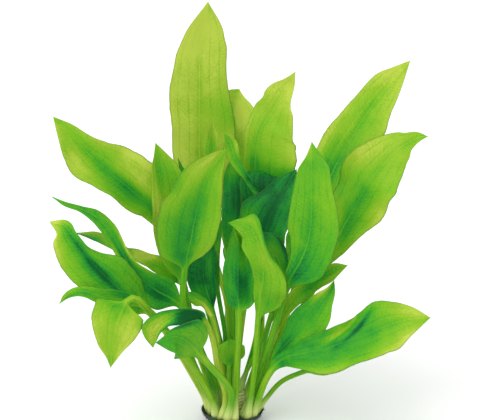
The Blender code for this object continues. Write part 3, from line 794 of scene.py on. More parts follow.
def leaf_skin():
    """The pattern of any leaf: greens by depth, veins, mottling, a paler underside and a white foot."""
    tree = bpy.data.node_groups.new("leaf pattern", "ShaderNodeTree")
    for label, in_out, kind in (
        ("Depth", "INPUT", "Float"), ("Dullness", "INPUT", "Float"),
        ("Colour", "OUTPUT", "Color"), ("Height", "OUTPUT", "Float"),
    ):
        tree.interface.new_socket(label, in_out=in_out, socket_type="NodeSocket" + kind)
    given = new_node(tree, "NodeGroupInput")
    across, way, out, oval, upper, blade, shade, seed = (
        new_node(tree, "ShaderNodeAttribute", attribute_name=label)["Fac"]
        for label in ("across", "way", "out", "oval", "upper", "blade", "shade", "seed"))
    out_share = abs(across)
    sideways = out * reckon("SIGN", across)
    flat_place = joined(sideways, way, seed * 0.01)
    drift = noise(flat_place, scale=90, detail=2, roughness=0.5)
    grain = noise(flat_place, scale=480, detail=3, roughness=0.6)

    # Two curved side veins on each half run from foot to tip, finer ones slant out from the midrib, and
    # the smallest join them in a net. All come and go along the leaf.
    from_vein = reckon("PINGPONG", out_share + VEIN_DRIFT * (drift - 0.5), VEIN_SPACING / 2)
    side_veins = between(from_vein, VEIN_WIDTH, 0) * between(out_share, 0.12, 0.30)
    slant = way * SMALL_VEIN_PACE - out * SMALL_VEIN_SLANT + drift * SMALL_VEIN_DRIFT
    small_veins = between(reckon("PINGPONG", slant, 0.5), 0.2, 0)
    net = new_node(
        tree, "ShaderNodeTexVoronoi", feature="DISTANCE_TO_EDGE", Vector=flat_place, Scale=NET_SCALE)
    net_veins = between(net["Distance"], 0.14, 0)
    strength = between(noise(flat_place, scale=45, detail=2, roughness=0.5), 0.36, 0.62, low=0.25)
    beside_rib = bell(out / (oval + 0.0008), 0, 2)
    rib = bell(out / (oval + 0.00012), 0, 0.30)

    # Broad blotches that follow the leaf, and long streaks that are strongest on its stalk
    blotches = noise(joined(across * 2, way * 70, seed), scale=0.9, detail=4, roughness=0.55)
    streaks = noise(joined(sideways * 1500, way * 22, seed), scale=1, detail=3, roughness=0.5)
    on_stalk = 1 - blade
    veined = (
        side_veins * SIDE_VEIN_DEPTH + small_veins * SMALL_VEIN_DEPTH + net_veins * NET_DEPTH
        + beside_rib * BESIDE_RIB_DEPTH + rib * RIB_DEPTH
    )
    # The depth adds the stored shade, partly painted shade and painted light, and the tone's depth, which
    # paints light on some tones and shade on others, to the leaf's own blotches, grain, streaks and veins.
    depth = (
        shade + given["Depth"] + BLOTCH_DEPTH * (blotches - 0.5) + GRAIN_DEPTH * (grain - 0.5)
        + on_stalk * (STALK_STREAK_DEPTH * (streaks - 0.5)) + blade * (BLADE_STREAK_DEPTH * (streaks - 0.5))
        + strength * blade * veined
    )
    greens = tree.nodes.new("ShaderNodeValToRGB")
    feed(greens.inputs["Fac"], depth)
    ramp = greens.color_ramp.elements
    while len(ramp) < len(GREENS):
        ramp.new(0.5)
    for element, (position, colour) in zip(ramp, GREENS):
        element.position = position
        element.color = (*colour, 1)

    # The underside, the bleached foot and the margin each tint the green.
    under = given["Dullness"] + UNDERSIDE_SHARE * (blade * (1 - upper))
    # The white of the foot fades where the green is deep, so it fades too under the painted shade.
    bleached = between(way, *WHITE_FOOT, low=WHITE_SHARE, high=0) * between(depth, 0.95, 0.45)
    on_margin = blade * between(out_share, MARGIN_FROM, 1, high=MARGIN_SHARE)
    colour = Value(tree, greens.outputs["Color"])
    for share, tint in ((under, UNDERSIDE), (bleached, FOOT_WHITE), (on_margin, MARGIN_BROWN)):
        colour = tinted(share, colour, tint)
    grooves = side_veins + small_veins * 0.8 + net_veins * 0.35
    height = grain * 0.3 + on_stalk * streaks * 1.5 - blade * grooves
    new_node(tree, "NodeGroupOutput", colour, height)
    return tree


def leaf_material(name, depth, dullness):
    """Thin green skin with a soft gloss that lets some light through."""
    material, tree = new_material(name)
    skin = new_node(tree, "ShaderNodeGroup", node_tree=LEAF_SKIN, Depth=depth, Dullness=dullness)
    reflecting = skinned(
        tree, Base_Color=skin["Colour"], Roughness=SKIN_ROUGHNESS, Specular_IOR_Level=SKIN_GLOSS,
        Normal=bumped(skin["Height"], strength=0.35, distance=0.0003))
    through = new_value(
        tree, "ShaderNodeBsdfTranslucent", Color=tinted(THROUGH_LIGHT_SHARE, skin["Colour"], THROUGH_LIGHT))
    give_surface(tree, new_value(tree, "ShaderNodeMixShader", SHARE_THROUGH, reflecting, through))
    return material


LEAF_TREE = leaf_tree()
LEAF_SKIN = leaf_skin()

# Leaf tones: how deep a green, and how dull. The tones are partly the leaves' own greens and partly lit and
# shaded copies of one green: pale and bright are painted light for leaves in full light, deep is painted
# shade for the shaded inner leaves, and dull leans towards the underside's colour.
LEAF_TONES = {
    "pale": (0.09, 0), "bright": (0.32, 0), "mid": (0.47, 0), "deep": (0.83, 0), "dull": (0.42, 0.04),
}
LEAF_SKINS = {tone: leaf_material(tone + " leaf", *values) for tone, values in LEAF_TONES.items()}
leaf_names = []


def grow_leaf(name, tone, foot, stalk, blade, tip, fold=BLADE_FOLD, wave=BLADE_WAVE, dent=NO_DENT, roll=0,
              radius=STALK_RADIUS, stem=STALK_DEPTH, tint=0, patches=()):
    """One leaf from its row. No two leaves have the same seed."""
    leaf_names.append(name)
    rib = leaf_rib(name, foot, stalk, blade, tip, roll, radius)
    piece = grown(rib, LEAF_TREE, {
        "Rows": len(rib.data.vertices), "Around": SECTION_POINTS,
        "Left fold": math.radians(fold[0]), "Right fold": math.radians(fold[1]),
        "Wave height": wave[0] * MILLIMETRE, "Waves": wave[1], "Wave start": wave[2],
        "Dent": dent[0] * MILLIMETRE, **dict(zip(DENT_PLACE, dent[1:])),
        "Margin ripple": MARGIN_RIPPLE * MILLIMETRE, "Margin wobble": MARGIN_WOBBLE,
        "Unevenness": SURFACE_UNEVENNESS * MILLIMETRE, "Seed": LEAF_SEED_STEP * len(leaf_names),
        "Skin": LEAF_SKINS[tone],
    }, name + "_leaf")
    count = len(piece.data.vertices)
    across, along, on_blade = (np.zeros(count, np.float32) for _ in range(3))
    for label, numbers in (("across", across), ("along", along), ("blade", on_blade)):
        piece.data.attributes[label].data.foreach_get("value", numbers)
    # The shade attribute holds the stalk's and the blade's extra depth, partly painted shade and painted
    # light.
    shade = np.full(count, tint, np.float32)
    for depth, middle, width, up, reach, *slant in patches:
        slid = along - up - (slant[0] * (across - middle) if slant else 0)
        shade += depth * np.exp(-(((across - middle) / width) ** 2) - (slid / reach) ** 2)
    shade = stem + (shade - stem) * on_blade
    piece.data.attributes.new("shade", "FLOAT", "POINT").data.foreach_set("value", shade)
    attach(piece, "root")
    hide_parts("leaf_" + name)


# One call a leaf, with its tone. Its foot is a ring and an angle in degrees, 0 to the right and 90 away
# from the viewer.
# A stalk point is (across, up, behind): its place in the front view, and how far it lies behind the axis.
# A blade point adds the half widths of the blade to the left and to the right of its rib.
# fold is how far each half turns towards the viewer, in degrees, and roll turns the whole blade.
# wave is the margin's height, its number of waves and where they start.
# dent is how far the blade is pushed back, its middle and width across, its middle and reach along, and
# its slant. stem, tint and patches say how much deeper than its tone the stalk, the blade and parts of the
# blade are: a patch is its depth, its middle and width across, its middle and reach along, and its slant.
# These depths are partly the leaf's own mottling and partly painted shade and painted light: darker where a
# stalk or blade lies in shade, in hollows, folds and under other leaves, and paler where light falls on it.
grow_leaf(
    "tall_back", "pale", foot=(INNER_RING, 104), stalk=[(-2, 54, 24), (-5, 95, 33), (-17, 135, 42)],
    blade=[
        (-24, 175, 48, 16.5, 18.5), (-27, 207, 53, 23.5, 27), (-27, 233, 57, 26, 30.5),
        (-27, 259, 60, 28.5, 26), (-27, 275, 60, 25.5, 23.5), (-26, 295, 60, 20, 22),
        (-23, 313, 58, 14, 15.5),
    ], tip=(-20, 334, 54), fold=(8, 8), wave=(1.5, 2, 0.1), roll=-20, radius=2.7, tint=-0.1, stem=0.15,
    patches=[
        (-0.25, -0.5, 0.6, 0.9, 0.1), (0.45, -0.5, 1.2, 0, 0.5), (0.35, 1, 0.8, 0.55, 0.1),
        (-0.3, -0.8, 0.8, 0.35, 0.2),
    ])
grow_leaf(
    "curled_back", "pale", foot=(OUTER_RING, 80), stalk=[(2, 63, 40), (9, 151, 66)],
    blade=[
        (4, 191, 74, 15.5, 19.5), (1, 223, 80, 17, 21.5), (1, 243, 83, 15.5, 22.5), (2, 255, 84, 11, 16),
        (4, 261, 85, 7.5, 5),
    ], tip=(5, 264, 85), roll=22, tint=0.1,
    patches=[(-0.2, 1, 1.2, 0.95, 0.2), (-0.3, 0.3, 0.25, 0.8, 0.1)])
grow_leaf(
    "right_back", "bright", foot=(INNER_RING, 62), stalk=[(21, 55, 24), (23, 103, 32), (23, 151, 40)],
    blade=[
        (19, 183, 46, 10, 35.5), (18, 207, 49, 10, 38.5), (23, 233, 52, 12.5, 33.5),
        (30, 243, 54, 16, 26.5), (35, 252, 54, 13.5, 18.5), (37, 255, 54, 14.5, 13.5),
        (40, 261, 54, 12, 10.5), (45, 268, 52, 6.5, 6),
    ], tip=(50, 278, 46), fold=(8, 10), roll=20, tint=-0.5,
    patches=[
        (0.8, 1, 1, 0.3, 0.1), (0.65, -0.4, 1, 0.4, 0.15), (0.35, -0.8, 0.9, 0.7, 0.15),
        (0.4, 0.6, 0.9, 0.65, 0.2),
    ])
grow_leaf(
    "small_spike", "bright", foot=(TOP_RING, 113), stalk=[(-3, 71, 13), (-5, 135, 24), (-14, 171, 30)],
    blade=[(-16, 211, 35, 7.5, 5.5), (-16, 225, 36, 5.5, 4)], tip=(-16, 242, 36), fold=(20, 20), radius=2,
    tint=-0.25, patches=[(0.35, -0.5, 1.2, 0.65, 0.15)])
grow_leaf(
    "back_left", "mid", foot=(INNER_RING, 126), stalk=[(-14, 63, 20), (-19, 83, 22), (-26, 126, 28)],
    blade=[(-34, 159, 34, 10, 11.5), (-39, 183, 36, 6.5, 10)], tip=(-44, 209, 36), roll=-45, radius=2.2,
    tint=0.1)
grow_leaf(
    "back_low_left", "mid", foot=(OUTER_RING, 121), stalk=[(-15, 67, 50), (-20, 86, 60), (-30, 119, 82)],
    blade=[(-36, 151, 106, 15.5, 15.5), (-39, 166, 122, 12, 12)], tip=(-41, 171, 140), roll=-50, tint=0.1)
grow_leaf(
    "back_low", "mid", foot=(OUTER_RING, 101), stalk=[(-3, 25, 25), (-6, 63, 56), (-1, 110, 94)],
    blade=[(2, 135, 118, 11.5, 11.5), (4, 147, 134, 9.5, 9.5)], tip=(6, 153, 152), roll=42, tint=0.3)
grow_leaf(
    "back_low_right", "mid", foot=(OUTER_RING, 44), stalk=[(17, 25, 19), (25, 63, 46), (42, 118, 76)],
    blade=[(55, 146, 98, 14.5, 14.5), (63, 161, 112, 12, 12)], tip=(70, 169, 128), roll=50, tint=0.1)


# The inner leaves
# Younger leaves that stand on the crown's top, inside the rosette. The outer ones shade them, so most
# show dark green, and two turn over far enough to show a bright margin or a dull pale underside.

grow_leaf(
    "inner_folded", "bright", foot=(TOP_RING, 62), stalk=[(6, 63, 8), (15, 126, 10), (22, 171, 11)],
    blade=[(12, 191, 12, 2.5, 2), (6, 202, 14, 5, 2.5), (1, 210, 16, 5.5, 5), (-2, 220, 19, 5, 5.5)],
    tip=(-7, 228, 19), fold=(0, 0), radius=1.8, tint=0.05, stem=-0.05,
    patches=[(0.5, 0.3, 1, 0.35, 0.25), (-0.25, 0.7, 0.4, 0.8, 0.1)])
grow_leaf(
    "shade_right", "deep", foot=(TOP_RING, 15), stalk=[(20, 71, 10), (30, 143, 17)],
    blade=[(26, 172, 22, 19.5, 21), (23, 187, 24, 18, 22), (23, 194, 28, 16.5, 23)], tip=(24, 198, 37),
    fold=(0, 0), wave=(0.8, 2, 0), radius=1.8, tint=0.1,
    patches=[(-0.1, -0.8, 0.5, 0.8, 0.15), (-0.2, -0.1, 0.3, 0.95, 0.1)])
grow_leaf(
    "shade_centre", "deep", foot=(MIDDLE, 180), stalk=[(0, 71, 2), (0, 119, 10)],
    blade=[(3, 147, 18, 11.5, 9), (6, 167, 25, 15.5, 15.5), (6, 183, 30, 14.5, 17), (3, 198, 33, 10, 7.5)],
    tip=(2, 214, 34), fold=(0, 0), radius=1.8, tint=-0.1, stem=-0.25,
    patches=[(0.2, -0.3, 1, 0.6, 0.2), (-0.35, 0.3, 1.2, 0.9, 0.1), (-0.3, 0, 1.2, 0.1, 0.15)])
grow_leaf(
    "inner_right", "mid", foot=(TOP_RING, -30), stalk=[(19, 71, -4), (20, 126, -6)],
    blade=[
        (25, 146, -5, 22.5, 19.5), (30, 161, -4, 26, 18), (36, 174, -2, 17.5, 18), (43, 186, 1, 11.5, 10.5),
    ], tip=(51, 200, 4), fold=(5, 5), roll=22, radius=1.8, tint=0.25,
    patches=[(-0.45, -0.65, 0.5, 0.5, 0.25), (-0.4, -0.85, 0.4, 0.35, 0.15), (0.65, -1, 1.2, 0.5, 0.35)])
grow_leaf(
    "dull_underside", "dull", foot=(TOP_RING, -76), stalk=[(23, 63, -14), (40, 108, -18)],
    blade=[(38, 122, -20, 11, 6.5), (34, 134, -20, 10.5, 8.5), (30, 142, -19, 6.5, 8)], tip=(24, 150, -16),
    fold=(5, 5), radius=1.8, patches=[(0.45, -0.4, 1.2, 0.95, 0.2), (0.65, 1, 0.5, 0.6, 0.35)])
grow_leaf(
    "shade_left", "deep", foot=(TOP_RING, -150), stalk=[(-7, 47, -4), (-16, 86, -12)],
    blade=[(-22, 106, -15, 12.5, 9.5), (-24, 119, -17, 14, 11), (-23, 134, -17, 11, 9.5)],
    tip=(-20, 150, -16), fold=(0, 0), radius=1.8, tint=0.05, stem=-0.2,
    patches=[(-0.25, -0.4, 1.2, 0.25, 0.1), (-0.2, 0.4, 0.4, 0.6, 0.15)])
grow_leaf(
    "inner_left", "deep", foot=(TOP_RING, 165), stalk=[(-6, 63, 4), (-12, 102, 4)],
    blade=[(-14, 126, 5, 5, 3.5), (-13, 147, 7, 5, 4)], tip=(-10, 169, 9), wave=(0.5, 1.5, 0), radius=1.8,
    tint=-0.15, stem=-0.25, patches=[(-0.3, 0.35, 0.8, 0.5, 0.1)])
grow_leaf(
    "small_low", "deep", foot=(INNER_RING, -117), stalk=[(-8, 34, -11), (-12, 63, -14), (-17, 82, -21)],
    blade=[(-23, 92, -25, 3, 4), (-28, 95, -26, 5, 4.5), (-32, 98, -26, 4.5, 4)], tip=(-37, 102, -25),
    fold=(0, 0), wave=(0.4, 1.5, 0), radius=2.2, tint=-0.2, stem=-0.6, patches=[(-1, -0.3, 0.8, 0, 0.65)])
grow_leaf(
    "young_round", "mid", foot=(INNER_RING, -95), stalk=[(-2, 18, -16), (-3, 42, -18)],
    blade=[(-3, 47, -18, 7, 7), (-2, 54, -19, 12, 12), (-2, 58, -19, 10.5, 11.5)], tip=(-2, 64, -18),
    fold=(5, 5), wave=(0.4, 1.5, 0), radius=2, tint=-0.1, stem=0, patches=[(0.3, 0.05, 0.35, 0.15, 0.25)])


# The leaves on the right
# Full-grown leaves that lean out to the right from the crown's two rings, their upper faces up and
# towards the viewer, with waved margins. The lowest of them reaches out almost level.

grow_leaf(
    "right_upper", "bright", foot=(INNER_RING, 18), stalk=[(41, 78, 11), (60, 143, 19)],
    blade=[
        (69, 170, 24, 14.5, 16), (80, 198, 29, 20.5, 17.5), (91, 218, 34, 21, 22), (103, 238, 38, 18, 23),
        (114, 254, 40, 15.5, 18), (124, 266, 41, 14, 13), (133, 276, 40, 8, 6.5),
    ], tip=(142, 287, 37), fold=(10, 12), roll=13, tint=-0.35,
    patches=[
        (0.65, -0.2, 1, 0.3, 0.9), (-0.3, -0.3, 0.35, 0.55, 0.1), (-0.4, -0.3, 0.8, 0.95, 0.25),
        (-0.3, -0.85, 0.2, 0.45, 0.2),
    ])
grow_leaf(
    "right_middle", "bright", foot=(INNER_RING, -7), stalk=[(44, 69, -2), (68, 111, 0)],
    blade=[
        (74, 127, 2, 8, 6.5), (82, 141, 4, 16, 14.5), (91, 158, 7, 21, 19.5), (101, 175, 9, 22.5, 27.5),
        (110, 191, 11, 27, 27.5), (121, 204, 13, 23.5, 20), (130, 214, 14, 18, 15.5),
        (137, 219, 14, 13, 13.5), (141, 221, 13, 9.5, 8), (148, 225, 11, 5, 4.5),
    ], tip=(156, 226, 8), wave=(3, 3, 0.2), roll=22, radius=2.7, tint=-0.1,
    patches=[
        (1.05, -0.65, 1.2, 0.4, 0.2), (-1, -0.65, 0.65, 0.35, 0.2), (-0.35, 0.9, 0.7, 0.45, 0.1),
        (-0.25, -0.75, 0.5, 0.7, 0.1),
    ])
grow_leaf(
    "front_right", "mid", foot=(INNER_RING, -56), stalk=[(25, 47, -20), (42, 102, -34)],
    blade=[
        (47, 114, -37, 5.5, 13), (54, 126, -39, 9.5, 21.5), (59, 138, -40, 14, 23),
        (62, 153, -40, 18, 23.5), (63, 169, -39, 17, 20.5), (63, 185, -36, 14.5, 17),
        (63, 199, -32, 11, 15), (63, 210, -28, 4.5, 8),
    ], tip=(63, 222, -24), fold=(7, 6), roll=13, radius=2.7, tint=0.05,
    patches=[
        (0.3, 0.35, 0.8, 0.05, 0.25), (-0.5, -1, 1.1, 1, 0.1), (-0.1, -0.8, 0.4, 0.45, 0.2),
        (-0.15, 0.75, 0.6, 0.65, 0.15),
    ])
grow_leaf(
    "right_narrow", "mid", foot=(INNER_RING, -31), stalk=[(22, 33, -8), (28, 52, -13)],
    blade=[
        (33, 68, -18, 4, 3), (39, 82, -21, 5.5, 4.5), (46, 93, -23, 5.5, 6), (54, 102, -24, 5.5, 7.5),
        (64, 109, -24, 6, 7.5), (74, 115, -22, 6, 7.5), (82, 120, -20, 5, 5.5),
    ], tip=(92, 123, -16), fold=(0, 0), roll=15, radius=2.2, tint=-0.35, stem=-0.05,
    patches=[(-0.6, 0.75, 0.7, 0.8, 0.15), (0.8, 0.6, 1.2, 0.75, 0.25)])
grow_leaf(
    "right_inner", "mid", foot=(OUTER_RING, -17), stalk=[(24, 26, -14), (31, 45, -24)],
    blade=[
        (39, 56, -29, 5.5, 7), (49, 67, -34, 10.5, 13.5), (58, 78, -36, 12.5, 18), (66, 88, -37, 11, 17),
        (72, 96, -36, 7, 10.5), (77, 103, -34, 3, 5.5),
    ], tip=(81, 111, -30), fold=(10, 5), roll=20, radius=2.4, stem=0,
    patches=[(-0.9, -0.8, 0.55, 0.9, 0.15), (0.5, 0, 0.25, -0.1, 0.4), (0.3, -1, 1.2, 0.6, 0.55)])
# Its two slanted patches paint light on one side of its dent's fold and shade on the other.
grow_leaf(
    "lower_right", "mid", foot=(OUTER_RING, -34), stalk=[(21, 18, -21), (29, 36, -34)],
    blade=[
        (40, 48, -42, 6.5, 7), (54, 52, -48, 11, 14), (74, 56, -53, 13, 21.5), (90, 62, -56, 15.5, 22),
        (106, 67, -58, 20, 22.5), (120, 73, -59, 21, 22.5), (134, 78, -58, 15.5, 17),
        (146, 80, -57, 9.5, 9.5),
    ], tip=(158, 81, -55), fold=(8, 8), wave=(3, 2.5, 0.3), roll=20, radius=2.7,
    dent=(5, -0.75, 0.35, 0.54, 0.06, -0.25), tint=0.2, stem=-0.1,
    patches=[
        (-0.4, 0.95, 0.3, 0.4, 0.15), (-0.45, -0.7, 0.35, 0.5, 0.06, -0.25), (-0.7, 1.1, 0.55, 0.8, 0.2),
        (-0.65, -0.6, 1.2, 0.95, 0.2), (0.5, -0.4, 0.35, 0.61, 0.03, -0.25),
    ])
grow_leaf(
    "lower_right_back", "bright", foot=(OUTER_RING, 0), stalk=[(27, 17, -3), (39, 30, -8), (57, 38, -14)],
    blade=[(74, 43, -18, 7, 8), (90, 47, -20, 6.5, 6.5)], tip=(106, 54, -20), fold=(0, 0), radius=2,
    tint=-0.15, stem=0.1)


# The leaves on the left
# Narrower and more twisted leaves that arch out to the left. Several curl along one margin, and the
# lowest hangs down at its tip.

grow_leaf(
    "left_spike", "mid", foot=(INNER_RING, 171), stalk=[(-20, 41, 1), (-29, 62, -3), (-40, 110, -14)],
    blade=[
        (-46, 126, -19, 10, 9.5), (-50, 141, -21, 13, 12.5), (-53, 158, -22, 13.5, 14.5),
        (-55, 175, -22, 11.5, 15), (-58, 191, -20, 7.5, 18), (-60, 203, -17, 6, 14.5),
        (-61, 211, -15, 3, 9),
    ], tip=(-62, 221, -12), roll=-22, tint=-0.45,
    patches=[(-1, -0.25, 0.75, 0.45, 0.3), (1.1, -0.05, 1.1, 0.35, 0.6)])
grow_leaf(
    "left_arching", "bright", foot=(INNER_RING, 148),
    stalk=[(-19, 39, 11), (-28, 62, 11), (-34, 83, 9), (-50, 140, 5)],
    blade=[
        (-65, 170, 2, 13, 15), (-77, 179, -1, 17, 28.5), (-90, 190, -3, 18, 28), (-102, 199, -4, 20, 26),
        (-113, 209, -3, 24, 18), (-122, 219, -2, 21, 11), (-132, 230, 0, 12.5, 7.5),
    ], tip=(-144, 242, 3), fold=(15, 5), roll=-22, tint=-0.35,
    patches=[
        (-0.55, 0.35, 0.25, 0.4, 0.2), (0.75, 0.1, 1.2, 0.4, 0.55), (-0.3, -0.5, 0.4, 0.7, 0.1),
        (-0.5, 0.85, 0.35, 0.45, 0.25),
    ])
grow_leaf(
    "left_s_curve", "mid", foot=(INNER_RING, -164), stalk=[(-15, 30, -6), (-26, 54, -14), (-41, 89, -24)],
    blade=[
        (-49, 96, -26, 12, 14), (-60, 102, -28, 14.5, 13.5), (-71, 110, -29, 13, 10), (-81, 120, -28, 8, 7),
        (-87, 130, -26, 5.5, 4.5), (-93, 141, -22, 6, 5.5), (-100, 152, -18, 6, 6.5),
        (-110, 162, -14, 5, 5.5), (-122, 168, -11, 2.5, 2.5), (-135, 172, -9, 1.5, 2),
    ], tip=(-145, 178, -6), fold=(8, 8), wave=(0.8, 2, 0), roll=-6, tint=0.05,
    patches=[(-1, -0.75, 0.25, 0.35, 0.15), (0.3, -0.3, 1.2, 0.15, 0.4), (-0.8, 1.1, 0.4, 0.45, 0.15)])
grow_leaf(
    "left_strip", "mid", foot=(OUTER_RING, 139), stalk=[(-18, 38, 20), (-27, 58, 25), (-60, 118, 28)],
    blade=[(-82, 132, 27, 6.5, 6.5), (-97, 141, 26, 7.5, 7.5), (-110, 146, 24, 6.5, 6.5)],
    tip=(-127, 149, 22), fold=(0, 0), wave=(0.8, 2, 0), roll=55, radius=2, tint=-0.35,
    patches=[(1, -1, 1.2, 1.1, 0.5)])
grow_leaf(
    "left_curled", "mid", foot=(OUTER_RING, 177),
    stalk=[(-23, 18, -1), (-34, 38, -10), (-52, 67, -26), (-66, 84, -36)],
    blade=[
        (-74, 90, -40, 9.5, 9.5), (-84, 98, -43, 16, 17), (-102, 114, -46, 21, 20),
        (-114, 127, -46, 22.5, 10), (-122, 138, -45, 21.5, 4), (-129, 147, -43, 17.5, 4),
        (-134, 154, -40, 11.5, 5),
    ], tip=(-147, 158, -37), fold=(6, 6), roll=-11, tint=0.05, stem=-0.35,
    patches=[(-1, 0.45, 1.2, 1, 0.1), (0.4, -0.05, 0.25, 0.5, 0.3), (-0.55, -1.1, 0.5, 0.8, 0.2)])
grow_leaf(
    "left_drooping", "mid", foot=(OUTER_RING, -163),
    stalk=[(-19, 14, -9), (-26, 28, -12), (-44, 58, -24), (-71, 90, -53)],
    blade=[
        (-94, 96, -61, 4.5, 7), (-106, 98, -63, 5.5, 6), (-118, 102, -63, 4.5, 4), (-127, 102, -62, 4, 3),
        (-134, 98, -60, 2.5, 2),
    ], tip=(-139, 92, -57), fold=(0, 0), wave=(0.6, 2, 0), radius=2, tint=-0.35, stem=-0.25,
    patches=[(0.6, 0.9, 1.2, 0.15, 0.5), (0.4, -0.8, 1.1, 0.7, 0.4)])
grow_leaf(
    "thin_left", "mid", foot=(OUTER_RING, 158), stalk=[(-22, 34, 14), (-30, 59, 18), (-40, 106, 17)],
    blade=[(-49, 117, 15, 6, 5), (-58, 122, 13, 6.5, 8.5), (-68, 128, 13, 6, 5), (-77, 133, 13, 3.5, 3.5)],
    tip=(-85, 137, 14), fold=(0, 0), wave=(0.8, 1.5, 0), roll=-15, radius=2, stem=-0.2,
    patches=[(-0.45, 0.5, 0.6, 0.65, 0.2), (-0.75, -0.1, 1.2, 0.8, 0.15)])


# The front leaves
# The leaves nearest the viewer: three stand up before the heart of the plant, and three short ones
# bend over low at the front left, one of them folded along its rib.

grow_leaf(
    "front_centre", "bright", foot=(OUTER_RING, -52), stalk=[(17, 38, -27), (20, 79, -34)],
    blade=[
        (21, 90, -37, 3.5, 17), (22, 101, -40, 6, 21), (24, 111, -43, 7.5, 18.5), (24, 121, -45, 9, 13),
        (23, 130, -46, 11, 7), (20, 140, -45, 13, 6), (17, 148, -43, 11, 7), (14, 152, -42, 9.5, 10),
        (11, 154, -41, 8, 11.5), (7, 156, -40, 7, 5.5), (2, 157, -39, 4.5, 2.5),
    ], tip=(-4, 157, -37), fold=(0, 0), radius=2.4, tint=0.1, stem=0.1,
    patches=[(-0.35, 1.1, 1, 0.6, 0.25), (0.15, 0.5, 0.3, 0, 0.3), (0.9, 1.1, 0.35, 0.65, 0.2)])
# Its first two patches together paint shade in the hollow of its dent.
grow_leaf(
    "centre", "mid", foot=(OUTER_RING, -87), stalk=[(3, 39, -24), (5, 84, -30)],
    blade=[
        (5, 90, -31, 7, 12.5), (4, 97, -31, 9.5, 13), (4, 107, -32, 12, 14), (4, 119, -32, 11.5, 15),
        (4, 131, -31, 10, 12.5), (4, 142, -29, 7.5, 7.5),
    ], tip=(0, 154, -25), fold=(15, 5), roll=16, dent=(5, 0.4, 0.25, 0.5, 9, 0), radius=2.7, tint=0.2,
    stem=-0.1,
    patches=[(-1, 0.25, 0.2, 0.35, 0.25), (1.15, 0.25, 0.25, 0.35, 0.2), (-0.4, 0.65, 1.2, 0.9, 0.1)])
grow_leaf(
    "front_left", "bright", foot=(INNER_RING, -141),
    stalk=[(-22, 25, -17), (-34, 51, -26), (-40, 89, -38), (-39, 118, -42)],
    blade=[
        (-38, 126, -43, 17, 8.5), (-37, 132, -44, 22.5, 14), (-34, 143, -46, 29.5, 18.5),
        (-32, 154, -47, 32, 20), (-29, 166, -46, 33, 20), (-26, 178, -44, 27, 18),
        (-22, 191, -41, 21.5, 14), (-16, 202, -37, 13.5, 9.5), (-11, 209, -34, 7, 6),
    ], tip=(-5, 216, -30), fold=(12, 10), roll=-20, radius=2.7, tint=-0.03, stem=0.2,
    patches=[
        (0.5, -0.3, 0.55, 0.1, 0.6), (-0.35, -0.95, 0.4, 0.5, 0.1), (1.1, -1.1, 1.2, 0.6, 0.25),
        (-1, -0.65, 0.65, 0.65, 0.3),
    ])
grow_leaf(
    "front_drooping", "bright", foot=(OUTER_RING, -138),
    stalk=[(-16, 13, -22), (-24, 30, -31), (-41, 55, -48), (-65, 84, -68), (-79, 97, -76), (-85, 94, -80)],
    blade=[
        (-86, 92, -81, 13.5, 10.5), (-89, 86, -82, 18, 21.5), (-92, 78, -84, 19, 21),
        (-94, 69, -86, 16.5, 17.5), (-96, 59, -86, 11, 12), (-97, 50, -85, 5, 5),
    ], tip=(-98, 41, -82), fold=(4, 4), wave=(0.8, 1.5, 0), tint=-0.3, stem=0,
    patches=[(0.45, -1.1, 0.35, 0.2, 0.15), (0.25, 0.3, 0.75, 0.75, 0.9), (0.75, 0.55, 1.2, -0.1, 0.25)])
grow_leaf(
    "folded_yellow", "bright", foot=(OUTER_RING, -123),
    stalk=[(-6, 18, -26), (-12, 38, -37), (-16, 62, -51), (-22, 78, -62)],
    blade=[
        (-28, 83, -70, 6, 4.5), (-38, 84, -77, 9, 4.5), (-47, 81, -83, 7, 7), (-54, 77, -85, 4, 10.5),
        (-60, 70, -86, 2.5, 13.5), (-62, 64, -86, 1.5, 9),
    ], tip=(-64, 57, -85), fold=(20, 20), wave=(0.5, 1.5, 0), radius=2.1, tint=0.1, stem=-0.2,
    patches=[
        (-0.45, 0.2, 0.6, 0.8, 0.3), (0.9, -0.3, 1.2, 0.3, 0.25), (0.4, -1.1, 0.6, 0.6, 0.2),
        (0.4, 1.1, 0.45, 0.6, 0.2),
    ])
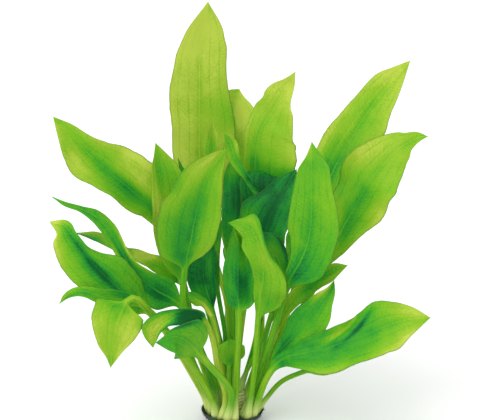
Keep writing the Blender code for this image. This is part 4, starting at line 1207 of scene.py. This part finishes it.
grow_leaf(
    "front_pale", "dull", foot=(OUTER_RING, -105), stalk=[(-2, 22, -37), (-18, 42, -55)],
    blade=[
        (-27, 52, -64, 4, 4), (-32, 58, -74, 13, 15), (-38, 63, -83, 16.5, 19), (-46, 66, -90, 16.5, 7.5),
        (-53, 64, -95, 10.5, 3.5),
    ], tip=(-62, 61, -98), fold=(5, 5), wave=(0.8, 1.5, 0), radius=2.7, tint=0.25, stem=0,
    patches=[(0.4, 0.85, 0.2, 0.7, 0.1), (-0.45, 0, 1.2, 0, 0.7)])


# The floor, the light and the camera
# A plain pale floor in metres, a wide soft light from the left in front, and the camera at the picture's
# angle. The picture's breadth is what it shows across at the plant, in millimetres.

FLOOR_SIZE = 9
FLOOR_PLACE = (0, 1.5, -0.0002)
FLOOR_WHITE = (0.90, 0.90, 0.90)
SKY_STRENGTH = 1.0
SUN_STRENGTH = 1.65
SUN_WIDTH = math.radians(50)
SUN_DIRECTION = (math.radians(42), 0, math.radians(-38))
SENSOR_WIDTH = 36
PICTURE_BREADTH = 384
FARTHEST_SEEN = 20

bpy.ops.mesh.primitive_plane_add(size=FLOOR_SIZE, location=FLOOR_PLACE)
floor = bpy.context.active_object
floor.name = "floor"
floor_material, floor_nodes = new_material("studio floor")
give_surface(floor_nodes, skinned(floor_nodes, Base_Color=FLOOR_WHITE, Roughness=0.9))
floor.data.materials.append(floor_material)

world = bpy.data.worlds.new("studio")
world.use_nodes = True
background = world.node_tree.nodes["Background"]
background.inputs["Color"].default_value = (1, 1, 1, 1)
background.inputs["Strength"].default_value = SKY_STRENGTH
bpy.context.scene.world = world

sun_data = bpy.data.lights.new("window light", "SUN")
sun_data.energy = SUN_STRENGTH
sun_data.angle = SUN_WIDTH
sun = in_scene("window light", sun_data)
sun.rotation_euler = SUN_DIRECTION

camera_data = bpy.data.cameras.new("camera")
camera_data.sensor_width = SENSOR_WIDTH
camera_data.lens = SENSOR_WIDTH * SIGHT_DISTANCE / PICTURE_BREADTH
camera_data.clip_end = FARTHEST_SEEN
camera = in_scene("camera", camera_data)
camera.location = EYE * MILLIMETRE
camera.rotation_euler = (math.radians(90) - SIGHT_ELEVATION, 0, 0)
bpy.context.scene.camera = camera
bpy.context.scene.view_settings.view_transform = "Standard"
